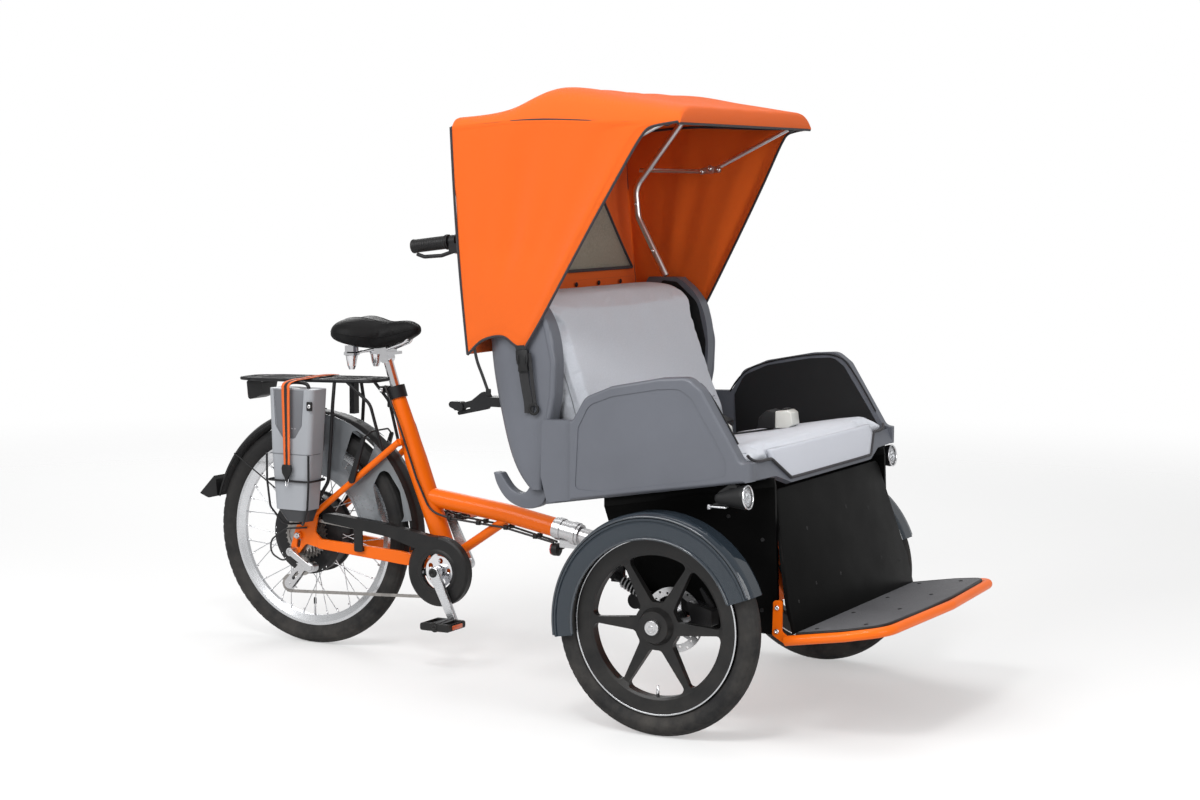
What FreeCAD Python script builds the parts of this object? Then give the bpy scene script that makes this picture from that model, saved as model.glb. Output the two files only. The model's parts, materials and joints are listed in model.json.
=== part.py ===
# Cycle rickshaw: a two-seat hooded bench on a steered two-wheel carriage, pushed by a bicycle rear end.
# Millimetres. +X is forward (towards the footplate), +Y is left, +Z is up, the floor is Z = 0.
# Inside the functions X is counted from the rear axle; save() moves it to the middle of the whole length.
import FreeCAD, Part
import os
from math import acos, asin, atan2, cos, degrees, hypot, pi, radians, sin, tan

os.makedirs("parts", exist_ok=True)
Vec = FreeCAD.Vector
origin = Vec(0, 0, 0)
alongX, alongY, alongZ = Vec(1, 0, 0), Vec(0, 1, 0), Vec(0, 0, 1)
sides = ((-1, "right"), (1, "left"))

# ---- driving dimensions ----
originX = 769.0            # rear axle to the middle of the whole length
rearR, rearTyreW = 319.0, 50.0
frontR, frontTyreW = 266.0, 54.0
wheelBase = 1352.0
frontY = 496.0             # front wheel centre planes
crankX, crankZ = 462.0, 254.0
crankLen, crankAngle = 143.0, -64.3   # right arm, degrees above the forward line
pivotX = 1290.0            # steering axis, vertical
benchHalf = 475.0          # armrest outer faces
benchTilt = 9.4            # the bench leans back by this many degrees
footTilt = 9.4             # the footplate rises forward by this many degrees
dropoutY = 68.0            # rear dropout centre planes


# ---- helpers ----
def save(name, shape):
    shape = shape.copy()
    shape.translate(Vec(-originX, 0, 0))
    shape.exportStep("parts/%s.step" % name)


def mirrorY(shape):
    return shape.mirror(origin, alongY)


def bothSides(shape):
    return Part.makeCompound([shape, mirrorY(shape)])


def fuse(shapes):
    solid = shapes[0].multiFuse(shapes[1:]) if len(shapes) > 1 else shapes[0]
    return solid.removeSplitter()


def rod(start, end, radius):
    start, end = Vec(*start), Vec(*end)
    return Part.makeCylinder(radius, (end - start).Length, start, end - start)


def cylY(x, z, radius, yLow, yHigh):
    return Part.makeCylinder(radius, yHigh - yLow, Vec(x, yLow, z), alongY)


def block(x0, x1, y0, y1, z0, z1):
    return Part.makeBox(x1 - x0, y1 - y0, z1 - z0, Vec(x0, y0, z0))


def sideBlock(side, x0, x1, yIn, yOut, z0, z1):
    # a block at Y = side * yIn ... side * yOut
    low, high = sorted((side * yIn, side * yOut))
    return block(x0, x1, low, high, z0, z1)


def sideCyl(side, x, z, radius, yIn, yOut):
    low, high = sorted((side * yIn, side * yOut))
    return cylY(x, z, radius, low, high)


def bentPath(points, bend):
    # straight runs joined by tangent arcs of one bend radius
    pts = [Vec(*p) for p in points]
    edges, last = [], pts[0]
    for before, here, after in zip(pts, pts[1:], pts[2:]):
        toBefore, toAfter = (before - here).normalize(), (after - here).normalize()
        turn = pi - toBefore.getAngle(toAfter)
        if turn < 1e-3:
            continue
        back = min(bend * tan(turn / 2), 0.45 * (before - here).Length, 0.45 * (after - here).Length)
        radius = back / tan(turn / 2)
        a, b = here + toBefore * back, here + toAfter * back
        middle = (toBefore + toAfter).normalize()
        crown = here + middle * (radius / cos(turn / 2) - radius)
        edges.append(Part.LineSegment(last, a).toShape())
        edges.append(Part.Arc(a, crown, b).toShape())
        last = b
    edges.append(Part.LineSegment(last, pts[-1]).toShape())
    return Part.Wire(edges)


def bentTube(points, radius, bend=40.0):
    path = bentPath(points, bend)
    start = path.Edges[0]
    ring = Part.Wire(Part.makeCircle(radius, Vec(*points[0]), start.tangentAt(start.FirstParameter)))
    return path.makePipeShell([ring], True, False)


def roundedWire(corners):
    # closed wire through (point, corner radius) pairs: straight sides joined by tangent arcs
    pts, radii = [c[0] for c in corners], [c[1] for c in corners]
    n, edges, starts, ends, arcs = len(pts), [], [], [], []
    for i, here in enumerate(pts):
        toBefore, toAfter = (pts[i - 1] - here), (pts[(i + 1) % n] - here)
        start = end = here
        arc = None
        if radii[i]:
            u, v = Vec(toBefore).normalize(), Vec(toAfter).normalize()
            half = u.getAngle(v) / 2
            back = min(radii[i] / tan(half), 0.48 * toBefore.Length, 0.48 * toAfter.Length)
            radius = back * tan(half)
            crown = here + (u + v).normalize() * (radius / sin(half) - radius)
            start, end = here + u * back, here + v * back
            arc = Part.Arc(start, crown, end).toShape()
        starts.append(start)
        ends.append(end)
        arcs.append(arc)
    for i in range(n):
        if arcs[i]:
            edges.append(arcs[i])
        edges.append(Part.LineSegment(ends[i], starts[(i + 1) % n]).toShape())
    return Part.Wire(edges)


def cornerRadius(point):
    return point[2] if len(point) > 2 else 0


def plate(points, y0, y1):
    # upright plate from its side outline; points are (x, z) or (x, z, corner radius)
    wire = roundedWire([(Vec(p[0], y0, p[1]), cornerRadius(p)) for p in points])
    return Part.Face(wire).extrude(Vec(0, y1 - y0, 0))


def level(points, z0, z1):
    # flat plate from its plan outline; points are (x, y) or (x, y, corner radius)
    wire = roundedWire([(Vec(p[0], p[1], z0), cornerRadius(p)) for p in points])
    return Part.Face(wire).extrude(Vec(0, 0, z1 - z0))


def roundEdges(solid, y, radius):
    # rounds the edges that lie in the plane Y = y
    edges = [e for e in solid.Edges if abs(e.BoundBox.YMin - y) < 0.01 and abs(e.BoundBox.YMax - y) < 0.01]
    return solid.makeFillet(radius, edges)


def link(p, q, rp, rq, y0, y1):
    # flat bar with round ends: radius rp round p and rq round q, both (x, z)
    reach, heading = hypot(q[0] - p[0], q[1] - p[1]), atan2(q[1] - p[1], q[0] - p[0])
    lean = acos((rp - rq) / reach)

    def at(centre, r, angle):
        return Vec(centre[0] + r * cos(angle), y0, centre[1] + r * sin(angle))
    nearEnd = Part.Arc(at(p, rp, heading + lean), at(p, rp, heading + pi), at(p, rp, heading - lean))
    edges = [nearEnd.toShape(),
             Part.LineSegment(at(p, rp, heading - lean), at(q, rq, heading - lean)).toShape(),
             Part.Arc(at(q, rq, heading - lean), at(q, rq, heading), at(q, rq, heading + lean)).toShape(),
             Part.LineSegment(at(q, rq, heading + lean), at(p, rp, heading + lean)).toShape()]
    return Part.Face(Part.Wire(edges)).extrude(Vec(0, y1 - y0, 0))


def spun(profile, base, axis):
    # profile: (radius, distance along the axis) points of a closed section
    pts = [Vec(r, 0, t) for r, t in profile]
    solid = Part.Face(Part.makePolygon(pts + [pts[0]])).revolve(origin, alongZ, 360)
    solid.Placement = FreeCAD.Placement(Vec(*base), FreeCAD.Rotation(alongZ, Vec(*axis)))
    return solid


def turned(profile, x, z):
    # profile: (radius, y) points of a closed section, revolved round the Y line through (x, z)
    return spun(profile, (x, 0, z), (0, 1, 0))


def arched(profile, x, z, angle0, angle1):
    # (radius, y[, corner radius]) section swept round the Y line through (x, z), between two angles
    # in degrees above the forward line
    wire = roundedWire([(Vec(x + p[0], p[1], z), cornerRadius(p)) for p in profile])
    face = Part.Face(wire)
    face.rotate(Vec(x, 0, z), alongY, -angle1)
    return face.revolve(Vec(x, 0, z), alongY, angle1 - angle0)


def arcBand(x, z, rOuter, rInner, angle0, angle1, y0, y1):
    return arched([(rInner, y0), (rOuter, y0), (rOuter, y1), (rInner, y1)], x, z, angle0, angle1)


def tyre(x, z, y, outerR, innerR, width):
    # round crown, straight sidewalls down to the bead
    half = width / 2
    bead = half * 0.45
    shoulder, beadZ = z + outerR - half, z + innerR
    a, top, b = Vec(x, y - half, shoulder), Vec(x, y, z + outerR), Vec(x, y + half, shoulder)
    rightBead, leftBead = Vec(x, y - bead, beadZ), Vec(x, y + bead, beadZ)
    edges = [Part.Arc(a, top, b).toShape(),
             Part.LineSegment(b, leftBead).toShape(),
             Part.LineSegment(leftBead, rightBead).toShape(),
             Part.LineSegment(rightBead, a).toShape()]
    return Part.Face(Part.Wire(edges)).revolve(Vec(x, 0, z), alongY, 360)


# ---- roller chain: the path, its pins and the toothed wheels that they seat in ----
pitch, rollerR, seatR = 12.7, 3.9, 4.0
chainY = -58.0
ringTeeth, cogTeeth, pulleyTeeth = 36, 24, 11
linkCount = 122
cogSpacing = 5.0
guidePulley = (3.0, 229.0)
cageLength = 70.8


def pitchRadius(teeth):
    return pitch / (2 * sin(pi / teeth))


def chainWheels(cageAngle):
    # in the order the chain meets them: (centre, pitch radius, +1 clockwise seen from the right or -1)
    tension = (guidePulley[0] + cageLength * cos(cageAngle), guidePulley[1] + cageLength * sin(cageAngle))
    return [((crankX, crankZ), pitchRadius(ringTeeth), 1), (tension, pitchRadius(pulleyTeeth), 1),
            (guidePulley, pitchRadius(pulleyTeeth), -1), ((0.0, rearR), pitchRadius(cogTeeth), 1)]


def chainTangent(first, second):
    (c0, r0, s0), (c1, r1, s1) = first, second
    reach, heading = hypot(c1[0] - c0[0], c1[1] - c0[1]), atan2(c1[1] - c0[1], c1[0] - c0[0])
    angle = heading + asin((s1 * r1 - s0 * r0) / reach)
    rightX, rightZ = sin(angle), -cos(angle)
    return ((c0[0] - rightX * s0 * r0, c0[1] - rightZ * s0 * r0),
            (c1[0] - rightX * s1 * r1, c1[1] - rightZ * s1 * r1))


def chainPath(wheels, step=0.25):
    # closely spaced points along the pitch line: an arc on each wheel, then the run to the next
    runs = [chainTangent(wheels[i], wheels[(i + 1) % 4]) for i in range(4)]
    points = []
    for i, (centre, r, sense) in enumerate(wheels):
        arrive, leave, goal = runs[i - 1][1], runs[i][0], runs[i][1]
        a0 = atan2(arrive[1] - centre[1], arrive[0] - centre[0])
        a1 = atan2(leave[1] - centre[1], leave[0] - centre[0])
        turn = (sense * (a0 - a1)) % (2 * pi)
        count = int(turn * r / step)
        for j in range(count):
            a = a0 - sense * turn * j / count
            points.append((centre[0] + r * cos(a), centre[1] + r * sin(a)))
        count = int(hypot(goal[0] - leave[0], goal[1] - leave[1]) / step)
        for j in range(count):
            t = j / count
            points.append((leave[0] + (goal[0] - leave[0]) * t, leave[1] + (goal[1] - leave[1]) * t))
    return points


def chainPins(points):
    # walks the path in chords of exactly one pitch, so the pins fall on the wheels' pitch polygons
    pins = [points[0]]
    for before, after in zip(points, points[1:]):
        lastX, lastZ = pins[-1]
        if hypot(after[0] - lastX, after[1] - lastZ) < pitch:
            continue
        low, high = 0.0, 1.0
        for _ in range(24):
            t = (low + high) / 2
            x, z = before[0] + (after[0] - before[0]) * t, before[1] + (after[1] - before[1]) * t
            low, high = (t, high) if hypot(x - lastX, z - lastZ) < pitch else (low, t)
        pins.append((x, z))
    return pins


def walkedLength(cageAngle):
    pins = chainPins(chainPath(chainWheels(cageAngle)))
    return (len(pins) - 1) * pitch + hypot(pins[-1][0] - pins[0][0], pins[-1][1] - pins[0][1])


def solveCage():
    # the derailleur cage swings until a whole number of links closes the loop
    low, high = radians(-136), radians(-128)
    for _ in range(18):
        middle = (low + high) / 2
        low, high = (middle, high) if walkedLength(middle) > linkCount * pitch else (low, middle)
    return middle


cageAngle = solveCage()
driveWheels = chainWheels(cageAngle)
tensionPulley = driveWheels[1][0]
pins = chainPins(chainPath(driveWheels))[:linkCount]


def seatAngle(index):
    # the direction of a pin that is seated on this wheel, seen from its centre
    (x, z), r, _ = driveWheels[index]
    seated = [p for p in pins if abs(hypot(p[0] - x, p[1] - z) - r) < 0.01]
    return atan2(seated[1][1] - z, seated[1][0] - x)


def toothedWheel(teeth, x, z, phase, y0, y1):
    # roller seats on the pitch circle, straight flanks up to narrow tips
    tipR, tipHalf, seatSpread = pitchRadius(teeth) + 3.6, 0.8, radians(56)
    step = 2 * pi / teeth
    edges, last = [], None

    def at(r, angle):
        return Vec(x + r * cos(angle), y0, z + r * sin(angle))
    first = None
    for i in range(teeth):
        here = phase + i * step
        centre = at(pitchRadius(teeth), here)

        def seat(offset):
            return centre + Vec(cos(here + pi + offset), 0, sin(here + pi + offset)) * seatR
        start, end = seat(seatSpread), seat(-seatSpread)
        if last is not None:
            edges.append(Part.LineSegment(last, start).toShape())
        first = first or start
        edges.append(Part.Arc(start, seat(0), end).toShape())
        tips = [at(tipR, here + step / 2 + s * tipHalf / tipR) for s in (-1, 1)]
        edges.append(Part.LineSegment(end, tips[0]).toShape())
        edges.append(Part.LineSegment(tips[0], tips[1]).toShape())
        last = tips[1]
    edges.append(Part.LineSegment(last, first).toShape())
    return Part.Face(Part.Wire(edges)).extrude(Vec(0, y1 - y0, 0))


def chainLink(inner):
    # one link from (0, 0) to (pitch, 0): inner links carry the rollers, outer links the pins
    low, high = (1.25, 2.05) if inner else (2.15, 2.95)
    parts = [link((0, 0), (pitch, 0), 4.1, 4.1, side * low, side * high) for side in (-1, 1)]
    for x in (0, pitch):
        parts.append(cylY(x, 0, rollerR, -1.3, 1.3) if inner else cylY(x, 0, 1.8, -3.3, 3.3))
    solid = fuse(parts)
    if inner:
        solid = solid.cut(cylY(0, 0, 1.95, -4, 4)).cut(cylY(pitch, 0, 1.95, -4, 4))
    return solid


def chain():
    forms = [chainLink(True), chainLink(False)]
    links = []
    for i, (x, z) in enumerate(pins):
        nextX, nextZ = pins[(i + 1) % linkCount]
        piece = forms[i % 2].copy()
        piece.rotate(origin, alongY, -degrees(atan2(nextZ - z, nextX - x)))
        piece.translate(Vec(x, chainY, z))
        links.append(piece)
    return Part.makeCompound(links)


def rearDerailleur():
    # toothed pulleys between two cage plates, hung on a two-link parallelogram from the hanger
    parts = []
    knuckle, cagePivot = (-20.0, 272.0), (46.0, 232.0)
    for centre, index in ((guidePulley, 2), (tensionPulley, 1)):
        parts.append(toothedWheel(pulleyTeeth, *centre, seatAngle(index), chainY - 1.1, chainY + 1.1))
        parts.append(cylY(*centre, 9, chainY - 5.5, chainY + 5.5))
        parts.append(cylY(*centre, 4, chainY - 10, chainY + 9))
    for y0, y1 in ((chainY - 8, chainY - 5.5), (chainY + 5.5, chainY + 8)):
        cage = link(guidePulley, tensionPulley, 13, 15, y0, y1)
        slot = link((-14, 209), (-28, 193), 5, 5, y0 - 1, y1 + 1)
        parts.append(cage.cut(slot))
    arm = link(cagePivot, guidePulley, 12, 12, chainY - 13, chainY - 8)
    spring = cylY(*cagePivot, 14, -90, chainY - 8)
    hanger = cylY(*knuckle, 12, -94, -dropoutY + 0.5)
    upperLink = roundEdges(link(knuckle, cagePivot, 9, 9, -94, -86), -94, 2)
    lowerLink = link((-8, 262), (40, 224), 6, 6, -85, -78)
    stop = link(knuckle, (-8, 262), 11, 7, -84, -74)
    return fuse(parts + [arm, spring, hanger, upperLink, lowerLink, stop])


# ---- rear frame ----
seatTop = (286.0, 0.0, 726.0)
seatMid = (347.0, 0.0, 545.0)
seatLean = (seatMid[0] - seatTop[0]) / (seatTop[2] - seatMid[2])
seatPostR = 13.6
boomStart = (400.0, 0.0, 447.0)
boomEnd = (790.0, 0.0, 392.0)
headLow, headHigh = 236.0, 372.0
guardX, guardZ, guardR = 14.0, 322.0, 350.0    # rear mudguard arc


def onSeatAxis(z):
    return (seatTop[0] + (seatTop[2] - z) * seatLean, 0.0, z)


def mainFrame():
    bracket = Vec(crankX, 0, crankZ)
    top, mid = Vec(*seatTop), Vec(*seatMid)
    upper = Part.makeCone(20, 31, (mid - top).Length, top, mid - top)
    lower = Part.makeCone(31, 27, (bracket - mid).Length, mid, bracket - mid)
    shell = cylY(crankX, crankZ, 25, -36, 36)
    boom = bentTube([boomStart, (640, 0, 419), boomEnd], 26, 400)
    strut = rod((486, 0, 300), (640, 0, 403), 13)
    gusset = plate([(372, 480), (372, 430), (432, 430)], -3, 3)
    frame = fuse([upper, lower, Part.makeSphere(31, mid), shell, boom, strut, gusset])
    spindle = cylY(crankX, crankZ, 8.56, -40, 40)
    saddleTube = rod(onSeatAxis(555), onSeatAxis(760), seatPostR + 0.05)
    slot = block(240, 300, -1.5, 1.5, 690, 740)
    return frame.cut(spindle).cut(saddleTube).cut(slot)


def rearTriangle():
    parts = []
    stay = [(60, 314, 6), (62, 286, 6), (330, 260), (446, 252), (446, 278), (330, 297)]
    hanger = [(-32, 284, 10), (-12, 344, 10), (34, 394, 6), (64, 390, 6), (52, 332, 10), (74, 312, 4),
              (74, 286, 4), (20, 296, 12), (-8, 262, 8)]
    slot = link((0, rearR), (-6, rearR - 30), 6.2, 6.2, -90, 90)
    for side in (-1, 1):
        # box-section stay, bent in plan: outboard at the dropout, inboard at the bottom bracket
        solid = roundEdges(roundEdges(plate(stay, -7, 7), -7, 3), 7, 3)
        solid.rotate(Vec(60, 0, 300), alongZ, -side * 4.5)
        solid.translate(Vec(0, side * dropoutY, 0))
        dropout = plate(hanger, side * dropoutY - 3, side * dropoutY + 3).cut(slot)
        seatStay = rod((44, side * dropoutY, 378), (318, side * 44, 600), 9)
        eyelet = sideCyl(side, 14, 366, 6, dropoutY + 3, dropoutY + 7)
        parts += [solid, dropout, seatStay, eyelet]
    bridge = [block(425, 446, -44, 44, 252, 278)]
    bridge += [sideCyl(side, 316, 598, 10, 22, 44) for side in (-1, 1)]
    axle = [cylY(0, rearR, 6, -72, 72)]
    axle += [sideCyl(side, 0, rearR, 11, dropoutY + 2, dropoutY + 13) for side in (-1, 1)]
    return fuse(parts + bridge + axle)


clampR, clampWidth = 30.5, 14


def steeringHead():
    # polished sleeve in the boom's clamp, square-cut neck and the head tube that the carriage turns in
    neckEnd = (1262.0, 0.0, 304.0)
    tube = bentTube([boomEnd, neckEnd], 21)
    sleeve = rod(boomEnd, (868, 0, 377.5), 28)
    slope = (boomEnd[2] - neckEnd[2]) / (neckEnd[0] - boomEnd[0])
    clampRing = []
    for x in (800, 846):
        ends = [(end, 0, 392 - (end - 790) * slope) for end in (x, x + clampWidth)]
        clampRing.append(rod(*ends, clampR))
    lug = block(806, 860, -7, 7, 340, 362)
    head = Part.makeCylinder(30, headHigh - headLow, Vec(pivotX, 0, headLow), alongZ)
    cups = [Part.makeCylinder(34, 12, Vec(pivotX, 0, z), alongZ) for z in (headLow, headHigh - 12)]
    rib = plate([(1150, 330), (1270, 360), (1270, 250), (1225, 290)], -5, 5)
    bore = Part.makeCylinder(20.05, headHigh - headLow, Vec(pivotX, 0, headLow), alongZ)
    return fuse([tube, sleeve, head, rib, lug] + clampRing + cups).cut(bore)


def seatPost():
    head = [cylY(*onSeatAxis(828)[::2], 15, -17, 17), block(212, 284, -26, 26, 838, 846)]
    return fuse([rod(onSeatAxis(562), onSeatAxis(836), seatPostR)] + head)


def seatClamp():
    collar = rod(onSeatAxis(716), onSeatAxis(748), 26)
    postHole = rod(onSeatAxis(712), onSeatAxis(752), seatPostR)
    split = block(230, 285, -2, 2, 700, 760)
    ears = block(236, 262, -14, 14, 730, 748)
    bolt = cylY(248, 739, 4, -24, 22)
    lever = link((248, 739), (240, 690), 8, 4, 22, 28)
    body = fuse([collar, ears, bolt, lever])
    return body.cut(postHole).cut(split.cut(bolt))


def saddle():
    # wide at the back, dipped in the middle, narrow nose
    rings = []
    # x, half width, top, underside
    stations = ((102, 62, 914, 892), (130, 100, 935, 874), (170, 108, 941, 864), (212, 90, 937, 860),
                (254, 60, 930, 862), (296, 38, 935, 870), (332, 28, 941, 886), (362, 17, 927, 902))
    for x, halfW, zTop, zLow in stations:
        zMid = (zTop + zLow) / 2
        over = Part.Arc(Vec(x, -halfW, zMid), Vec(x, 0, zTop), Vec(x, halfW, zMid)).toShape()
        under = Part.Arc(Vec(x, halfW, zMid), Vec(x, 0, zLow), Vec(x, -halfW, zMid)).toShape()
        rings.append(Part.Wire([over, under]))
    return Part.makeLoft(rings, True, False)


def saddleSprings():
    # tapered elastomer springs under the back, rails that run to the nose, and the clamp on the post
    parts = []
    taper = [(0, 0), (8, 0), (12, 10), (17, 38), (22, 40), (22, 46), (19, 50), (19, 66), (0, 66)]
    for side in (-1, 1):
        parts.append(spun(taper, (174, side * 60, 796), (0, 0, 1)))
        parts.append(bentTube([(174, side * 56, 838), (214, side * 24, 850), (262, side * 22, 852),
                               (318, side * 16, 872), (336, side * 10, 896)], 3.5, 24))
    parts.append(block(226, 266, -28, 28, 846, 858))
    parts.append(rod((174, -60, 842), (174, 60, 842), 4))
    return fuse(parts)


def rearMudguard():
    crown = [(334, -33), (341, -31, 4), (350, -18, 20), (350, 18, 20), (341, 31, 4), (334, 33),
             (334, 30.5), (339, 28.5, 3), (347, 16, 18), (347, -16, 18), (339, -28.5, 3), (334, -30.5)]
    shell = arched(crown, guardX, guardZ, -4, 166)
    flap = plate([(-320, 404), (-352, 396, 20), (-383, 408, 2), (-356, 436, 25), (-331, 462), (-324, 452)],
                 -34, 34)
    stays = []
    for side in (-1, 1):
        stays.append(bentTube([(14, side * 76, 366), (-60, side * 52, 420), (-251, side * 36, 531)], 2, 30))
        stays.append(sideCyl(side, -251, 531, 3.5, 29, 38))
        stays.append(sideCyl(side, 14, 366, 4, 70, 78))
    bridge = block(-4, 32, -20, 20, 669, 674)
    return fuse([shell, flap, bridge] + stays)


def coatGuards():
    # thin sheets beside the upper front of the wheel, with a window above the curved lower strut
    sheet = arcBand(guardX, guardZ, 345, 172, 10, 90, -36.6, -35.1)
    window = plate([(250, 370, 26), (334, 370, 26), (316, 462, 34), (262, 534, 30), (226, 470, 30)], -40, -30)
    slot = plate([(120, 520, 18), (182, 470, 18), (236, 592, 18), (160, 628, 18)], -40, -30)
    edge = arcBand(guardX, guardZ, 180, 172, 12, 88, -38.5, -35.1)
    return bothSides(fuse([sheet.cut(window).cut(slot), edge]))


carrierRear, carrierFront = -228.0, 236.0


def carrierZ(x):
    return 752 + (x - carrierRear) * 0.026


def carrier():
    # rod platform, two pairs of legs and the bracket to the mudguard
    half = [(carrierFront, 0), (carrierFront, 52), (150, 66), (-150, 66), (carrierRear, 40)]
    ringPoints = [(x, y, carrierZ(x)) for x, y in half + [(x, -y) for x, y in half[:0:-1]] + half[:1]]
    parts = [bentTube(ringPoints, 5, 24)]
    for y in (-34, 0, 34):
        rearEnd = (carrierRear + 4, y, carrierZ(carrierRear))
        parts.append(rod(rearEnd, (carrierFront, y, carrierZ(carrierFront)), 4))
    for x in (-180, -60, 60, 180):
        parts.append(rod((x, -64, carrierZ(x)), (x, 64, carrierZ(x)), 4))
    for side in (-1, 1):
        parts.append(bentTube([(118, side * 64, carrierZ(118)), (120, side * 76, 700), (104, side * 77, 480),
                               (36, side * 76, 376)], 5, 40))
        frontLeg = [(156, side * 62, carrierZ(156)), (226, side * 48, 700), (262, side * 44, 575)]
        parts.append(bentTube(frontLeg, 4.5, 50))
        parts.append(sideCyl(side, 36, 380, 7, dropoutY + 3, dropoutY + 12))
    parts.append(fuse([block(132, 148, -12, 12, 666, 758), block(132, 148, -34, 34, 754, 759)]))
    return fuse(parts)


batteryFaceY = -160.0


def battery():
    # tapered case with a stepped foot, a shallow panel near the top and a square lock
    def ring(x0, x1, y0, y1, z, r):
        corners = ((x0, y0), (x1, y0), (x1, y1), (x0, y1))
        return roundedWire([(Vec(x, y, z), r) for x, y in corners])
    # rear, front, outer face, inner face, height, corner radius
    sections = [ring(-40, 112, batteryFaceY, -84, 742, 16), ring(-34, 99, batteryFaceY, -84, 560, 16),
                ring(-24, 85, batteryFaceY + 4, -86, 404, 16)]
    case = Part.makeLoft(sections, True, True)
    foot = Part.makeLoft([ring(-20, 82, batteryFaceY + 7, -88, 404, 16),
                          ring(2, 70, batteryFaceY + 18, -94, 369, 14)], True, True)
    panel = plate([(-22, 760), (-16, 640, 16), (10, 604, 10), (50, 604, 10), (74, 640, 16), (84, 760)],
                  batteryFaceY - 1, batteryFaceY + 4)
    lock = block(96, 108, batteryFaceY - 1.5, batteryFaceY + 6, 688, 706)
    return fuse([case.cut(panel), foot, lock])


def batteryCage():
    # a hoop and two hooked wires that hold the foot of the battery to the carrier's leg
    hoop = bentTube([(20, -80.5, 486), (-42, -80.5, 486), (-42, -165, 486), (99, -165, 486), (99, -80.5, 486),
                     (30, -80.5, 486)], 3, 14)
    wires = []
    for x0, x1, x2 in ((-42, -34, 0), (99, 92, 66)):
        run = [(x0, -165, 560), (x0, -165, 486), (x1, -162, 410), (x2, -146, 361), (26, -100, 358)]
        wires.append(bentTube(run, 3, 30))
    foot = bentTube([(26, -104, 358), (26, -82, 372), (40, -84, 400)], 3, 14)
    tab = block(36, 46, -84, -76, 392, 416)
    return fuse([hoop, foot, tab] + wires)


def carrierStrap():
    # two bands side by side over the platform and down to a hook on the cage
    over = level([(14, -72), (54, -72), (54, 70), (14, 70)], 763.5, 765.5)
    drop = plate([(16, 765.5), (54, 765.5), (38, 505), (22, 505)], -170.5, -168.5)
    shoulder = plate([(16, 765.5), (54, 765.5), (54, 763.5), (16, 763.5)], -170.5, -70)
    hook = plate([(18, 510, 6), (42, 510, 6), (36, 478, 6), (24, 478, 6)], -174, -168.5)
    return fuse([over, drop, shoulder, hook])


guardDiscR, guardOpenR = 96.0, 50.0


def chainGuard():
    # dished disc round the chainring with a raised collar, and a tapered arm over the top run
    dish = turned([(guardDiscR, -50), (guardDiscR, -72), (90, -76), (62, -76), (57, -79), (guardOpenR, -79),
                   (guardOpenR, -76), (55, -76), (60, -73), (89, -73), (guardDiscR - 3, -70),
                   (guardDiscR - 3, -50)], crankX, crankZ)
    openBack = plate([(442, 384), (300, 384), (300, 120), (400, 120), (crankX, crankZ)], -71.9, -45)
    arm = plate([(crankX, crankZ + guardDiscR), (crankX, 300), (392, 312), (300, 338), (84, 364, 8),
                 (80, 386, 8), (110, 388, 20), (300, 372, 60), (437, 350.5, 40)], -76, -73)
    arm = arm.cut(cylY(crankX, crankZ, 90, -80, -60))
    lip = plate([(86, 382), (110, 385, 20), (300, 369, 60), (437, 347.5, 40),
                 (crankX, crankZ + guardDiscR - 3), (crankX, crankZ + guardDiscR), (437, 350.5, 40),
                 (300, 372, 60), (110, 388, 20), (86, 386)], -73, -50)
    strap = plate([(188, 360), (216, 356), (216, 288, 5), (188, 288, 5)], -76, -73)
    foot = block(190, 214, -73, -63.5, 289, 300)
    return fuse([dish.cut(openBack), arm, lip, strap, foot])


def rimBrake():
    # two linear-pull arms on bosses at the seat stays, with pads against the rim
    arms = []
    for side in (-1, 1):
        arm = link((178, 487), (218, 606), 9, 5, *sorted((side * 66, side * 74)))
        pad = link((167, 523.5), (202, 488.5), 6, 6, *sorted((side * 18, side * 27)))
        post = sideCyl(side, 184.5, 506, 4, 27, 70)
        boss = sideCyl(side, 178, 487, 7, 56, 74)
        arms.append(fuse([arm, pad, post, boss]))
    noodle = bentTube([(218, -72, 606), (226, -40, 624), (226, 40, 624), (218, 72, 606)], 2.5, 20)
    return Part.makeCompound([fuse(arms + [noodle])])


def rearLights():
    lamp = plate([(-202, 690, 8), (-208, 746, 6), (-150, 746, 6), (-160, 704, 12)], -36, 36)
    lens = spun([(0, 0), (10, 0), (18, 5), (18, 20), (14, 26), (0, 26)], (806, 0, 333), (-1, 0, 0))
    strap = bentTube([(800, 0, 333), (816, 0, 340), (826, 0, 362)], 4, 8)
    return Part.makeCompound([lamp, fuse([lens, strap])])


def frameCables():
    cables = []
    for side, low in ((-1, 384.0), (1, 384.0)):
        cables.append(bentTube([(262, side * 28, 752), (318, side * 38, 640), (372, side * 38, 500),
                                (412, side * 32, 412), (470, side * 24, low + 12), (640, side * 16, low - 2),
                                (790, side * 10, low - 32)], 3, 60))
    gear = bentTube([(28, -76, 343), (-40, -80, 336), (-92, -84, 300), (-92, -84, 262), (-52, -86, 244),
                     (-14, -86, 256)], 2.5, 30)
    return Part.makeCompound(cables + [gear])


# ---- rear wheel ----
rimOut, rimIn, rimHalf = 271.0, 240.0, 13.0
flangeR, spokeCount = 111.0, 36


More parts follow.
